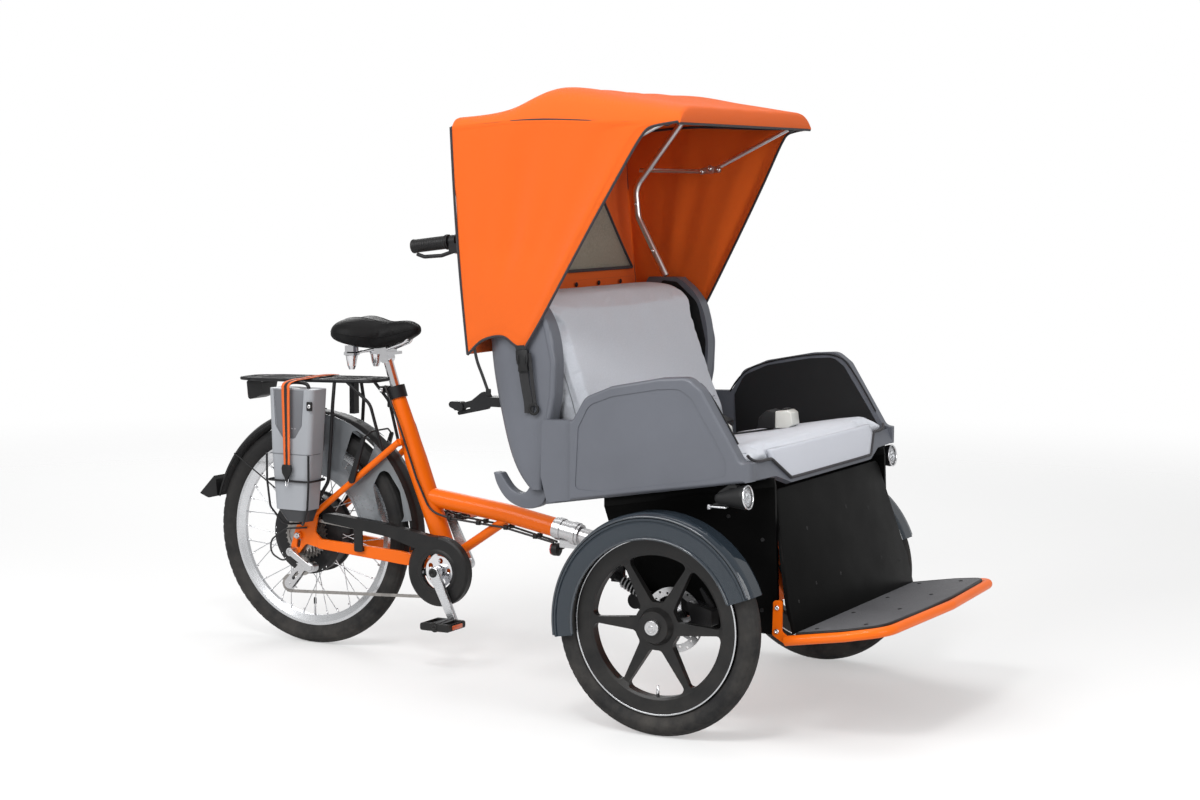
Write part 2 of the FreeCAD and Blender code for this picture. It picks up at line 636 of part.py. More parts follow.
def rearRim():
    rim = turned([(rimOut, -rimHalf), (rimOut, rimHalf), (rimOut - 12, rimHalf), (rimIn, 6), (rimIn, -6),
                  (rimOut - 12, -rimHalf)], 0, rearR)
    spokes = []
    for i in range(spokeCount):
        a = radians(360 / spokeCount * i)
        side = -1 if i % 2 else 1
        lean = radians(14 if i % 4 < 2 else -14)
        hubEnd = (flangeR * cos(a - lean), side * 28, rearR + flangeR * sin(a - lean))
        rimEnd = ((rimIn + 2) * cos(a), side * 2, rearR + (rimIn + 2) * sin(a))
        spokes.append(rod(hubEnd, rimEnd, 1.3))
    valve = rod((0, 0, rearR - rimIn - 4), (0, 0, rearR - rimIn + 34), 3)
    return rim.multiFuse(spokes + [valve])


def hubMotor():
    return turned([(116, -31), (116, -25), (110, -23), (110, 23), (116, 25), (116, 31), (104, 35), (44, 37),
                   (22, 50), (20, 62), (6.05, 62), (6.05, -34), (40, -34), (104, -34)], 0, rearR)


def cassette():
    # five toothed cogs on one carrier; the chain runs on the outermost
    body = [cylY(0, rearR, 18, chainY - 5, -34.5)]
    phase = seatAngle(3)
    for i, teeth in enumerate((cogTeeth, 26, 28, 31, 34)):
        y = chainY + cogSpacing * i
        body.append(toothedWheel(teeth, 0, rearR, phase, y - 0.95, y + 0.95))
    return fuse(body).cut(cylY(0, rearR, 6.05, -70, -30))


# ---- crankset and pedals ----
pedalAxleR = 6.0


def crankEnd(side):
    a = radians(crankAngle if side < 0 else crankAngle + 180)
    return crankX + crankLen * cos(a), crankZ + crankLen * sin(a)


def onCrank(radius, angle):
    return crankX + radius * cos(radians(angle)), crankZ + radius * sin(radians(angle))


def chainring():
    # toothed ring on a five-armed spider, with a holed disc in front
    ring = toothedWheel(ringTeeth, crankX, crankZ, seatAngle(0), chainY - 1, chainY + 1)
    ring = ring.cut(cylY(crankX, crankZ, 54, -80, -40))
    parts = [ring]
    disc = cylY(crankX, crankZ, 43, chainY - 9, chainY - 5)
    for i in range(5):
        angle = crankAngle + 36 + 72 * i
        arm = link(onCrank(30, angle), onCrank(59, angle), 13, 8, chainY - 5, chainY - 1)
        bolt = cylY(*onCrank(60, angle), 5, chainY - 7, chainY + 3)
        parts += [arm, bolt]
        disc = disc.cut(cylY(*onCrank(30, angle + 36), 7.5, -80, -60))
    hub = cylY(crankX, crankZ, 20, chainY - 10, chainY - 1)
    return fuse(parts + [disc, hub]).cut(cylY(crankX, crankZ, 8.55, -80, -40))


def crankArms():
    parts = [cylY(crankX, crankZ, 8.5, -90, 90)]
    bores = []
    for side in (-1, 1):
        x, z = crankEnd(side)
        low, high = sorted((side * 86, side * 98))
        arm = roundEdges(link((crankX, crankZ), (x, z), 16, 12, low, high), side * 98, 3.5)
        parts.append(arm)
        parts.append(sideCyl(side, crankX, crankZ, 16.4, 76, 92))
        parts.append(sideCyl(side, x, z, 11, 84, 92))
        bores.append(sideCyl(side, x, z, pedalAxleR + 0.05, 80, 110))
    return fuse(parts).cut(bores[0]).cut(bores[1])


def pedal(side):
    # two serrated side plates joined by the axle barrel and end bars
    x, z = crankEnd(side)
    low, high = sorted((side * 105, side * 188))
    corners = ((-46, -10), (46, -10), (46, 10), (-46, 10))
    body = plate([(x + dx, z + dz, 6) for dx, dz in corners], low, high)
    for slotX in (-29, 29):
        hole = block(x + slotX - 11, x + slotX + 11, low + 10, high - 10, z - 20, z + 20)
        body = body.cut(hole)
    for notchY in range(5):
        y = low + 14 + notchY * 12
        for edgeX in (-46, 46):
            body = body.cut(block(x + edgeX - 4, x + edgeX + 4, y, y + 6, z + 6, z + 20))
            body = body.cut(block(x + edgeX - 4, x + edgeX + 4, y, y + 6, z - 20, z - 6))
    barrel = cylY(x, z, 13, low, high)
    axle = sideCyl(side, x, z, pedalAxleR, 87, 150)
    return fuse([body, barrel, axle])


# ---- front carriage ----
railZ0, railZ1 = 400.0, 430.0


def frontChassis():
    # kingpin between two plates, cross beam for the wheels, posts up to the rails that carry the bench
    kingpin = Part.makeCylinder(20, railZ0 - 214, Vec(pivotX, 0, 214), alongZ)
    washer = [Part.makeCylinder(34, 8, Vec(pivotX, 0, z), alongZ) for z in (headLow - 9, headHigh + 1)]
    low = level([(pivotX - 45, -30, 25), (pivotX - 45, 30, 25), (1392, 60), (1392, -60)], 214, 227)
    high = block(pivotX - 45, 1392, -110, 110, 381, railZ0)
    beam = block(1352, 1392, -372, 372, 227, 267)
    web = block(1372, 1392, -60, 60, 267, 381)
    rails = [block(1120, 1580, s * 95 - 15, s * 95 + 15, railZ0, railZ1) for s in (-1, 1)]
    cross = [block(x, x + 30, -349.7, 349.7, railZ0, railZ1) for x in (1130, 1372, 1550)]
    posts = [block(1372, 1392, s * 335 - 12, s * 335 + 12, 267, railZ0) for s in (-1, 1)]
    braces = [rod((1560, s * 300, 405), (1640, s * 300, 262), 9) for s in (-1, 1)]
    foot = block(1626, 1642, -312, 312, 250, 266)
    return fuse([kingpin, low, high, beam, web, foot] + washer + rails + cross + posts + braces)


armPivot = (1240.0, 300.0)
damperTop, damperLow = (1176.0, 356.0), (1290.0, 300.0)


def suspension():
    # on each side a trailing arm with its stub axle, and a sprung damper up to the seat box
    parts = []
    dx, dz = damperLow[0] - damperTop[0], damperLow[1] - damperTop[1]
    for s in (-1, 1):
        low, high = sorted((s * 377, s * 399))
        arm = link(armPivot, (wheelBase, frontR), 16, 19, low, high)
        axle = sideCyl(s, wheelBase, frontR, 10, 376, 532)
        nut = sideCyl(s, wheelBase, frontR, 16, 526, 534)
        pivot = sideCyl(s, *armPivot, 20, 372.2, 402)
        bracket = sideBlock(s, 1225, 1372, 360.2, 372.2, 280, 320)
        upper = sideBlock(s, 1158, 1192, 360.2, 372.2, 336, 376)
        ridges = [(r, 24 + 8 * i + t) for i in range(9) for r, t in ((8.5, 0), (13, 3), (13, 5), (8.5, 8))]
        shock = spun([(0, 0), (8.5, 0)] + ridges + [(12, 96), (12, hypot(dx, dz)), (0, hypot(dx, dz))],
                     (damperTop[0], s * 390, damperTop[1]), (dx, 0, dz))
        eyes = [sideCyl(s, *damperTop, 9, 366, 400)]
        parts.append(fuse([arm, axle, nut, pivot, bracket, upper, shock] + eyes))
    return Part.makeCompound(parts)


def brakeCalipers():
    pad = [(1392, 322, 6), (1440, 306, 6), (1446, 258, 6), (1416, 252, 6)]
    outer = plate(pad, -434, -420)
    inner = plate(pad, -408, -394)
    joint = plate([(1432, 310, 3), (1462, 300, 3), (1462, 262, 3), (1440, 262, 3)], -434, -394)
    lever = link((1446, 306), (1420, 344), 7, 4, -404, -398)
    hanger = link((1440, 285), (1380, 250), 10, 10, -394, -388)
    return bothSides(fuse([outer, inner, joint, lever, hanger]))


def benchBottom(x):
    return 552 + (x - 1168) * tan(radians(benchTilt))


armrest = [(1029, 535, 14), (1012, 600), (1016, 738, 12), (1102, 741, 14), (1137, 800, 40), (1210, 830, 50),
           (1339, 855, 40), (1412, 860, 40), (1450, 832, 30), (1522, 716), (1552, 667, 22), (1600, 662),
           (1600, 625)]
armrestField = [(1112, 575, 12), (1120, 725, 20), (1150, 782, 40), (1214, 806, 50), (1335, 828, 40),
                (1392, 832, 40), (1424, 812, 30), (1490, 712), (1516, 666, 24), (1516, 632, 14),
                (1460, 618, 30), (1180, 572)]
frontX, frontZ = 1574.5, 635.0     # a point on the bench's front face
frontLean = 22.0                   # its top leans back by this many degrees
planSide = [(1000, -benchHalf), (1577, -benchHalf, 46), (1577, -425), (1600, -330)]    # plan, right half
panThick, sideThick = 18.0, 34.0


def leaned(outline, front, back):
    # upright outline of (y, z) points across the bench, given depth and the lean of the front face
    face = Part.Face(roundedWire([(Vec(front, p[0], p[1] - frontZ), cornerRadius(p)) for p in outline]))
    solid = face.extrude(Vec(back - front, 0, 0))
    solid.rotate(origin, alongY, -frontLean)
    solid.translate(Vec(frontX, 0, frontZ))
    return solid


def mirroredOutline(half):
    # half an outline of (y, z) points from the left side to the middle, closed with its mirror image
    return half + [(-p[0],) + tuple(p[1:]) for p in half[::-1]]


def benchShell():
    # two armrest mouldings with rounded rims and a sunk field, joined by the seat pan and a leaning front
    # return that dips in the middle for the cushion's flap; the front corners are round in plan
    inner = benchHalf - sideThick
    side = roundEdges(plate(armrest, -benchHalf, -inner), -benchHalf, 8)
    side = side.cut(plate(armrestField, -benchHalf - 1, -benchHalf + 2))
    side = side.cut(block(1000, 1098, -benchHalf - 1, -benchHalf + 7, 500, 800))
    low, high = benchBottom(1012), benchBottom(1566)
    pan = plate([(1012, low), (1566, high), (1566, high + panThick), (1012, low + panThick)], -inner, inner)
    front = leaned(mirroredOutline([(258, 596, 20), (330, 620, 20), (474, 624), (474, 663), (330, 660, 14),
                                    (258, 609, 10)][::-1])[::-1], 0, -16)
    ribLine = [(x, benchBottom(x) + dz) for x, dz in ((1040, -14), (1560, -14), (1560, 2), (1040, 2))]
    ribs = [plate(ribLine, y - 4, y + 4) for y in (-240, 0, 240)]
    body = fuse([side, mirrorY(side), pan, front] + ribs)
    plan = level(planSide + [(p[0], -p[1]) + tuple(p[2:]) for p in planSide[::-1]], 480, 900)
    return body.common(plan)


backHalf, backInner = 455.0, 408.0


def armrestLinings():
    # black sheets inside the armrests and inside the wings of the back
    inner = benchHalf - sideThick - 0.2
    sheet = plate([(1120, 600), (1112, 730, 12), (1140, 785, 40), (1210, 816, 50), (1335, 840, 40),
                   (1405, 845, 40), (1436, 822, 30), (1506, 716), (1536, 668, 10), (1540, 640)],
                  -inner, -inner + 2.8)
    wing = plate([(1012, 716), (1026, 716, 6), (1034, 795), (1036, 880, 60), (1010, 985, 60), (946, 1040, 20),
                  (898, 1044, 10), (898, 1008, 4)], -backInner + 0.2, -backInner + 2.2)
    return Part.makeCompound([sheet, mirrorY(sheet), wing, mirrorY(wing)])


def backShell():
    # tub-shaped back: lofted plan sections, hollowed for the cushion, with trimmed wings and two tail hooks
    rings = []
    # height, rear face, front edge of the wings
    for z, rearX, frontX in ((562, 972, 1006), (610, 924, 1009), (700, 880, 1024), (795, 850, 1040),
                             (880, 832, 1043), (985, 834, 1018), (1052, 858, 945)):
        rearRound = 0.4 * (frontX - rearX)
        corners = [(rearX, -backHalf, rearRound), (frontX, -backHalf, 10), (frontX, backHalf, 10),
                   (rearX, backHalf, rearRound)]
        rings.append(roundedWire([(Vec(x, y, z), r) for x, y, r in corners]))
    tub = Part.makeLoft(rings, True, False)
    seat = plate([(1008, 700), (893, 1000), (889, 1012), (800, 1012), (800, 1100), (1100, 1100), (1100, 560),
                  (1008, 560)], -backInner, backInner)
    hook = plate([(862, 590, 5), (880, 590, 6), (910, 552, 24), (955, 538), (966, 566), (1004, 568),
                  (1006, 538, 8), (958, 516, 24), (898, 533, 30)], -440, -412)
    trims = []
    for side in (-1, 1):
        path = [(x, side * (backHalf - 7), z) for x, z in ((1012, 680), (1034, 795), (1037, 880), (1013, 985),
                                                           (945, 1046))]
        trims.append(bentTube(path, 9, 90))
    return fuse([tub.cut(seat), hook, mirrorY(hook)] + trims)


def seatCushion():
    # pad on the pan, with a flap that fills the dip in the front return
    under = 18.5
    pad = plate([(1130, benchBottom(1130) + under), (1536, benchBottom(1536) + under), (1546, 660, 8),
                 (1550, 688, 16), (1520, 694, 16), (1146, 628, 10)], -430, 430)
    flap = leaned([(-256, 611, 10), (256, 611, 10), (326, 661, 14), (326, 684), (-326, 684),
                   (-326, 661, 14)], -2, -34)
    return fuse([pad, flap.cut(block(1500, 1600, -500, 500, 500, benchBottom(1566) + under))])


def backCushion():
    pts = [(1012, 690, 6), (898, 998, 30), (900, 1016, 30), (975, 1030, 25), (992, 1022, 20), (1124, 665, 20),
           (1100, 640, 20), (1036, 632, 10)]
    return plate(pts, -395, 395)


def seatBox():
    side = plate([(1131, 520), (1590, 600), (1604, 244), (1300, 244, 20), (1180, 380, 20)], -360, -350)
    window = block(1350, 1394, -370, -340, 225, 269)
    return bothSides(side.cut(window))


panelLow, panelHigh = (1654.0, 284.0), (1578.0, 587.0)


def frontPanel():
    # flat board that leans back under the seat, tapered with rounded shoulders
    rise = hypot(panelHigh[0] - panelLow[0], panelHigh[1] - panelLow[1])
    outline = [(-393, 0, 10), (393, 0, 10), (393, 48, 30), (327, rise, 22), (-327, rise, 22), (-393, 48, 30)]
    face = Part.Face(roundedWire([(Vec(0, y, z), r) for y, z, r in outline]))
    board = face.extrude(Vec(-9, 0, 0))
    board.rotate(origin, alongY, -degrees(atan2(panelLow[0] - panelHigh[0], panelHigh[1] - panelLow[1])))
    board.translate(Vec(panelLow[0], 0, panelLow[1]))
    return board


footBase = Vec(1640, 0, 240)
footPlan = [(1662, 386), (1790, 389, 60), (1872, 358, 50), (1898, 0)]


def footplate():
    # board with a shallow bow in front, rising forward
    outline = footPlan + [(p[0], -p[1]) + tuple(p[2:]) for p in footPlan[-2::-1]]
    board = level(outline, 247, 256)
    board.rotate(footBase, alongY, -footTilt)
    return board


def footplateRail():
    # tube round three sides of the board, on cranked brackets from the seat box
    half = [(1640, 401), (1790, 404), (1887, 372), (1911, 0)]
    path = [(x, -y, 241) for x, y in half] + [(x, y, 241) for x, y in half[-2::-1]]
    bearers = [rod((1700, -398, 236), (1700, 398, 236), 8), rod((1820, -388, 236), (1820, 388, 236), 8)]
    rail = fuse([bentTube(path, 12, 60)] + bearers)
    rail.rotate(footBase, alongY, -footTilt)
    brackets = []
    for s in (-1, 1):
        strap = plate([(1608, 335, 6), (1606, 252, 8), (1640, 232, 8), (1652, 246, 6), (1630, 262, 6),
                       (1630, 335, 6)], *sorted((s * 396, s * 402)))
        arm = sideBlock(s, 1606, 1616, 360.2, 398, 300, 330)
        brackets += [strap, arm]
    return fuse([rail] + brackets)


def headlights():
    # bell-shaped lamp with a rim, hung from a clip under the bench's front corner
    bell = [(0, 0), (10, 0), (15, 8), (19, 26), (27, 62), (29, 72), (29, 80), (26, 80), (24, 74), (0, 74)]
    lamp = spun(bell, (1488, -466, 577), (1, 0, 0.1))
    clip = fuse([link((1500, 590), (1532, 612), 6, 6, -470, -462), block(1520, 1544, -474, -458, 606, 611.8)])
    toe = link((1486, 562), (1506, 570), 4, 4, -474, -458)
    return bothSides(fuse([lamp, clip, toe]))


guardGap = 6.0


def mudguard():
    # arched cover with rounded shoulders: a deep outer skirt, a shallower inner one, a bead on the edge
    y = -frontY
    rim, inner = frontR + guardGap + 3, frontR + guardGap
    section = [(214, y - 42), (rim, y - 42, 24), (rim, y + 42, 24), (232, y + 42), (232, y + 39),
               (inner, y + 39, 21), (inner, y - 39, 21), (214, y - 39)]
    shell = arched(section, wheelBase, frontR, 20, 190)
    bead = [arcBand(wheelBase, frontR, 262, 257, 20, 190, y - 44, y - 41)]
    lip = arched([(214, y - 44), (219, y - 44), (219, y - 39), (214, y - 39)], wheelBase, frontR, 20, 190)
    stays = [rod((x, y + 41, z), (x, -360.5, z), 6) for x, z in ((1352, 506), (1240, 478))]
    return fuse([shell, lip] + bead + stays)


# ---- front wheels ----
frontSpokes, windowOut, wheelRimR, spokeHalf, spokePhase = 6, 171.0, 214.0, 18.0, -4.0
axleBoreR = 10.05


def castWheel(side):
    # turned casting with a hub, a web and a rim; six windows with rounded corners leave the spokes
    y = side * frontY
    inside = [(axleBoreR, -28), (38, -28), (46, -11), (windowOut - 8, -8), (windowOut + 6, -16),
              (wheelRimR, -20)]
    section = inside + [(r, -offset) for r, offset in inside[::-1]]
    wheel = turned([(r, y + offset) for r, offset in section], wheelBase, frontR)
    ring = cylY(0, 0, windowOut, -30, 30).cut(cylY(0, 0, 58, -40, 40))
    apex, reach = spokeHalf / sin(radians(30)), 260.0
    wedge = plate([(apex * cos(radians(30)), apex * sin(radians(30))),
                   (reach, spokeHalf), (reach * cos(radians(60)) - spokeHalf * sin(radians(60)),
                                        reach * sin(radians(60)) + spokeHalf * cos(radians(60)))], -30, 30)
    window = ring.common(wedge)
    window = window.makeFillet(13, [e for e in window.Edges if e.BoundBox.YLength > 50])
    for i in range(frontSpokes):
        hole = window.copy()
        hole.rotate(origin, alongY, -(60 * i + spokePhase))
        hole.translate(Vec(wheelBase, y, frontR))
        wheel = wheel.cut(hole)
    return wheel


discY, discOutR, discInR = 414.0, 80.0, 60.0


def brakeDisc(side):
    # drilled ring on a six-armed carrier and a tubular hub
    y = side * discY
    low, high = y - 1, y + 1
    hole = cylY(wheelBase, frontR, discInR, low - 1, high + 1)
    ring = cylY(wheelBase, frontR, discOutR, low, high).cut(hole)
    for i in range(24):
        a = radians(15 * i)
        r = 66 if i % 2 else 74
        ring = ring.cut(cylY(wheelBase + r * cos(a), frontR + r * sin(a), 3, low - 1, high + 1))
    arms = []
    for i in range(6):
        a, b = radians(60 * i), radians(60 * i + 16)
        arms.append(link((wheelBase + 30 * cos(a), frontR + 30 * sin(a)),
                         (wheelBase + 62 * cos(b), frontR + 62 * sin(b)), 6, 4, low, high))
    neck = sideCyl(side, wheelBase, frontR, 32, 413, 467.8)
    return fuse([ring, neck] + arms).cut(sideCyl(side, wheelBase, frontR, axleBoreR, 400, 480))


# ---- hood ----
hoodT = 4.0


def hoodSection(x, crown, crownHalf, seam, seamHalf, inset):
    # closed upright section: flat crown, sloping shoulders down to the seam, side panels down to the hem
    low, hem = 860.0 - 4 * inset, 470.0 - inset
    half = [(hem, low, 0), (seamHalf - inset, seam - inset, 30), (crownHalf - inset, crown - inset, 30)]
    corners = half + [(-y, z, r) for y, z, r in half[::-1]]
    return roundedWire([(Vec(x, y, z), r) for y, z, r in corners])


def hoodForm(inset, shift):
    # x, crown height, its half width, seam height, its half width
    stations = ((752, 1470, 440, 1450, 462), (880, 1496, 420, 1462, 450), (1005, 1548, 392, 1468, 440),
                (1180, 1528, 384, 1462, 425), (1346, 1500, 376, 1460, 396))
    first, last = stations[0][0], stations[-1][0]
    rings = []
    for x, *row in stations:
        # the cutting form runs past the open ends by shift
        x += {first: -shift, last: shift}.get(x, 0)
        rings.append(hoodSection(x, *row, inset))
    return Part.makeLoft(rings, True, True)


def canopy():
    # sewn cover: lofted roof and sides, an open front and hem, a rear panel with a tapered window
    shell = hoodForm(0, 0).cut(hoodForm(hoodT, 30))
    side = plate([(804, 889, 12), (752, 1600), (1346, 1600), (1346, 1456, 8), (1268, 1442, 40), (1187, 1298),
                  (1081, 1107), (1011, 982), (966, 910, 12), (940, 915, 20), (901, 937, 30), (846, 925, 20)],
                 -480, 480)
    rear = plate([(752, 1470), (756, 1470), (785, 1197), (801, 1030), (808, 890), (804, 890), (797, 1030),
                  (781, 1197)], -480, 480)
    rear = rear.common(hoodForm(0, 0))
    face = Part.Face(roundedWire([(Vec(700, y, z), 12) for y, z in ((-432, 1083), (432, 1083), (262, 1288),
                                                                    (-262, 1288))]))
    window = face.extrude(Vec(200, 0, 0))
    valance = hoodForm(0, 0).common(block(1340, 1346, -500, 500, 1456, 1560))
    return fuse([shell.common(side), rear.cut(window), valance])


def canopyFrame():
    # one bent tube up from behind the cushion, forward under the roof, across the front and back again
    half = [(930, 1058), (842, 1220), (834, 1300), (985, 1490), (1060, 1508), (1322, 1470)]
    hoop = bentTube([(x, -372, z) for x, z in half] + [(x, 372, z) for x, z in reversed(half)], 9, 60)
    parts = [hoop, rod((1022, -368, 1502), (1022, 368, 1502), 7)]
    for s in (-1, 1):
        parts.append(bentTube([(846, s * 374, 1348), (1060, s * 384, 1345), (1306, s * 371, 1464)], 6, 8))
        parts.append(sideCyl(s, 1060, 1349, 10, 376, 392))
    return fuse(parts)


def canopyStraps():
    # webbing from the hem to the wings, with a side-release buckle and a ladder lock on each
    parts = []
    band = plate([(950, 905), (974, 905), (1006, 770), (1000, 750), (984, 750), (984, 770)], -462.5, -460.5)
    buckle = plate([(950, 905, 4), (978, 905, 4), (984, 868, 4), (958, 868, 4)], -466, -457.5)
    lock = plate([(980, 772, 3), (1008, 772, 3), (1006, 740, 3), (982, 740, 3)], -465, -456)
    parts.append(fuse([band, buckle, lock]))
    parts.append(bentTube([(824, -463, 900), (838, -461, 850), (858, -458.5, 800)], 2.5, 30))
    return bothSides(Part.makeCompound(parts))


def seatBelts():
    # two lap belts laid on the seat: webbing, a plate and a buckle
    parts = []
    for y in (-205, 205):
        lap = plate([(1150, 630), (1340, 663.5), (1340, 665.5), (1150, 632)], y - 24, y + 24)
        buckle = plate([(1332, 664, 4), (1394, 675, 4), (1392, 688, 4), (1332, 678, 4)], y - 26, y + 26)
        parts.append(fuse([lap, buckle]))
    return Part.makeCompound(parts)


# ---- handlebar ----
barX, barZ, barHalf, gripTop, gripEnd = 722.0, 1168.0, 330.0, (690.0, 1166.0), (560.0, 1150.0)
barR, barBend, clampHalf, barEndR = 11.0, 40.0, 26.0, 9.0


def handlebar():
    # bar across the back of the hood, swept to two grips, on a stem that rises from the bench back
    half = [(gripEnd[0], barHalf, gripEnd[1]), (gripTop[0], barHalf, gripTop[1]), (barX, barHalf - 30, barZ)]
    path = [(x, -y, z) for x, y, z in half] + half[::-1]
    grips = [rod((556, s * barHalf, 1149.5), (665, s * barHalf, 1163), 16) for s in (-1, 1)]
    flanges = [rod((661, s * barHalf, 1162.5), (665, s * barHalf, 1163), 19) for s in (-1, 1)]
    clamp = cylY(barX, barZ, 19, -clampHalf, clampHalf)
    stem = bentTube([(barX, 0, barZ), (736, 0, 930), (850, 0, 850)], 14, 80)
    foot = block(820, 846, -40, 40, 830, 880)
    bar = fuse([bentTube(path, barR, barBend), clamp, stem, foot] + grips + flanges)
    for s in (-1, 1):
        # the drill starts behind the grip, so it leaves no skin over the open end
        bar = bar.cut(rod((546.08, s * barHalf, 1148.28), (605.6, s * barHalf, 1155.6), barEndR))
    return bar


def barControls():
    # brake lever, its clamp and a twist collar at each grip
    parts = []
    for s in (-1, 1):
        collar = rod((672, s * barHalf, 1163.8), (688, s * barHalf, 1165.8), 17)
        housing = sideBlock(s, 672, 700, 322, 346, 1136, 1160)
        lever = bentTube([(690, s * 336, 1142), (650, s * 344, 1128), (600, s * 348, 1124),
                          (578, s * 346, 1130)], 5, 20)
        parts.append(fuse([collar, housing, lever]))
    return Part.makeCompound(parts)


def parkingLever():
    # pivoted handle on a bracket behind the bench, with its lock plate
    base = block(800, 880, -380, -330, 752, 776)
    quadrant = link((792, 766), (760, 752), 22, 14, -368, -362)
    handle = link((796, 768), (700, 742), 9, 7, -360, -346)
    tip = link((712, 746), (690, 750), 12, 8, -364, -342)
    rest = link((790, 748), (706, 728), 6, 5, -352, -346)
    return fuse([base, quadrant, handle, tip, rest])


# ---- write every piece ----
pieces = {
    "main_frame": mainFrame(), "rear_triangle": rearTriangle(), "steering_head": steeringHead(),
    "seat_post": seatPost(), "seat_clamp": seatClamp(), "saddle": saddle(), "saddle_springs": saddleSprings(),
    "rear_mudguard": rearMudguard(), "coat_guards": coatGuards(), "carrier": carrier(), "battery": battery(),
    "battery_cage": batteryCage(), "carrier_strap": carrierStrap(), "chain_guard": chainGuard(),
    "chain": chain(),
    "rear_derailleur": rearDerailleur(), "rim_brake": rimBrake(), "rear_lights": rearLights(),
    "frame_cables": frameCables(),
    "rear_tyre": tyre(0, rearR, 0, rearR, rimOut - 6, rearTyreW), "rear_rim": rearRim(),
    "hub_motor": hubMotor(),
    "cassette": cassette(), "chainring": chainring(), "crank_arms": crankArms(),
    "front_chassis": frontChassis(), "suspension": suspension(), "brake_calipers": brakeCalipers(),
    "bench_shell": benchShell(), "back_shell": backShell(), "armrest_linings": armrestLinings(),
    "seat_cushion": seatCushion(), "back_cushion": backCushion(), "seat_box": seatBox(),
    "front_panel": frontPanel(), "footplate": footplate(), "footplate_rail": footplateRail(),
    "headlights": headlights(), "mudguard_right": mudguard(), "mudguard_left": mirrorY(mudguard()),
    "canopy": canopy(), "canopy_frame": canopyFrame(), "canopy_straps": canopyStraps(),
    "seat_belts": seatBelts(),
    "handlebar": handlebar(), "bar_controls": barControls(), "parking_lever": parkingLever(),
}
for side, name in sides:
    pieces["pedal_" + name] = pedal(side)
    wheel = castWheel(side)
    pieces["front_wheel_" + name] = wheel
    rubber = tyre(wheelBase, frontR, side * frontY, frontR, wheelRimR - 6, frontTyreW)
    pieces["front_tyre_" + name] = rubber.cut(wheel)
    pieces["brake_disc_" + name] = brakeDisc(side)
# where two pieces of one body meet, the first is cut to the others
trims = {
    "rear_tyre": ["rear_rim"], "rear_triangle": ["main_frame", "steering_head", "seat_post"],
    "seat_clamp": ["main_frame"], "main_frame": ["steering_head"], "saddle_springs": ["seat_post", "saddle"],
    "rear_rim": ["hub_motor"], "rear_derailleur": ["rear_triangle"], "rim_brake": ["rear_triangle"],
    "frame_cables": ["main_frame", "rear_derailleur", "rear_triangle"], "armrest_linings": ["back_shell"],
    "battery_cage": ["carrier", "battery"],
    "coat_guards": ["rear_triangle", "rear_mudguard", "rim_brake"],
    "carrier": ["rear_triangle", "rear_mudguard", "coat_guards"],
    "rear_mudguard": ["rear_triangle", "main_frame", "rim_brake"], "parking_lever": ["back_shell"],
    "handlebar": ["back_shell", "canopy"], "bar_controls": ["handlebar"],
    "footplate_rail": ["footplate", "front_panel", "seat_box"], "canopy_frame": ["back_shell", "canopy"],
    "back_shell": ["bench_shell"], "seat_box": ["front_panel"],
    "chain_guard": ["rear_triangle"], "headlights": ["bench_shell"],
    "canopy_straps": ["back_shell", "canopy"],
    "seat_belts": ["seat_cushion", "back_cushion"], "brake_calipers": ["suspension"],
    "front_chassis": ["front_panel"], "rear_lights": ["carrier", "steering_head"],
    "carrier_strap": ["carrier", "battery", "battery_cage"],
}
for name, others in trims.items():
    for other in others:
        pieces[name] = pieces[name].cut(pieces[other])
for name, shape in pieces.items():
    save(name, shape)
    print("%-18s %10.0f mm3 valid %s solids %d" % (name, shape.Volume, shape.isValid(), len(shape.Solids)))
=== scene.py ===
import json
from math import copysign, cos, exp, pi, radians, sin, tan

import bmesh
import bpy
import numpy as np
from mathutils import Matrix, Vector


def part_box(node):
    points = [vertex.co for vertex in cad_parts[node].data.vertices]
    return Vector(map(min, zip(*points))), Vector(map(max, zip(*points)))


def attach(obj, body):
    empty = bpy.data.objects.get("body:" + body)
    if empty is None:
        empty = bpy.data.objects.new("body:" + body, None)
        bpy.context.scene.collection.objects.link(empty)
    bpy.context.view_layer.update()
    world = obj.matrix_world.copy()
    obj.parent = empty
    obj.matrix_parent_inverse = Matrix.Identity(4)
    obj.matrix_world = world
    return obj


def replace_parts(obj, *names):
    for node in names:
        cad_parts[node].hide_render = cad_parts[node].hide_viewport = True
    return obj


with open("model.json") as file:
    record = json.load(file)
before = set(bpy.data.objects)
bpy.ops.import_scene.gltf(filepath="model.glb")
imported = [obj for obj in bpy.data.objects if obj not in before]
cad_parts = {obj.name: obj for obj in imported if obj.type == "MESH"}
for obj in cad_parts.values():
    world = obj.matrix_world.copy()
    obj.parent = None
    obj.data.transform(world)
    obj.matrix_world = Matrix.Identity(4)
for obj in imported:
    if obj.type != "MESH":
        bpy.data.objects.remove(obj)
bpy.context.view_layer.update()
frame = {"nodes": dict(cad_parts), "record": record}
print("frame loaded:", len(frame["nodes"]), "pieces")

# Metres. Places are given from the rear axle: x forward, y left, z up from the floor.
axleX = (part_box("rear_tyre")[0].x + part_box("rear_tyre")[1].x) / 2
sides = ((-1, "right"), (1, "left"))


def at(x, y, z):
    return Vector((axleX + x, y, z))


def row(points, side=1):
    # points in a line, mirrored for the right side with side -1
    return [at(x, side * y, z) for x, y, z in points]


def span(side, near, far):
    return sorted((side * near, side * far))


def limit(value, low=0, high=1):
    return min(max(value, low), high)


def srgb(r, g, b):
    # screen colour 0-255 to the linear values that a shader takes
    def lin(c):
        c = c / 255
        return c / 12.92 if c <= 0.04045 else ((c + 0.055) / 1.055) ** 2.4
    return (lin(r), lin(g), lin(b), 1.0)


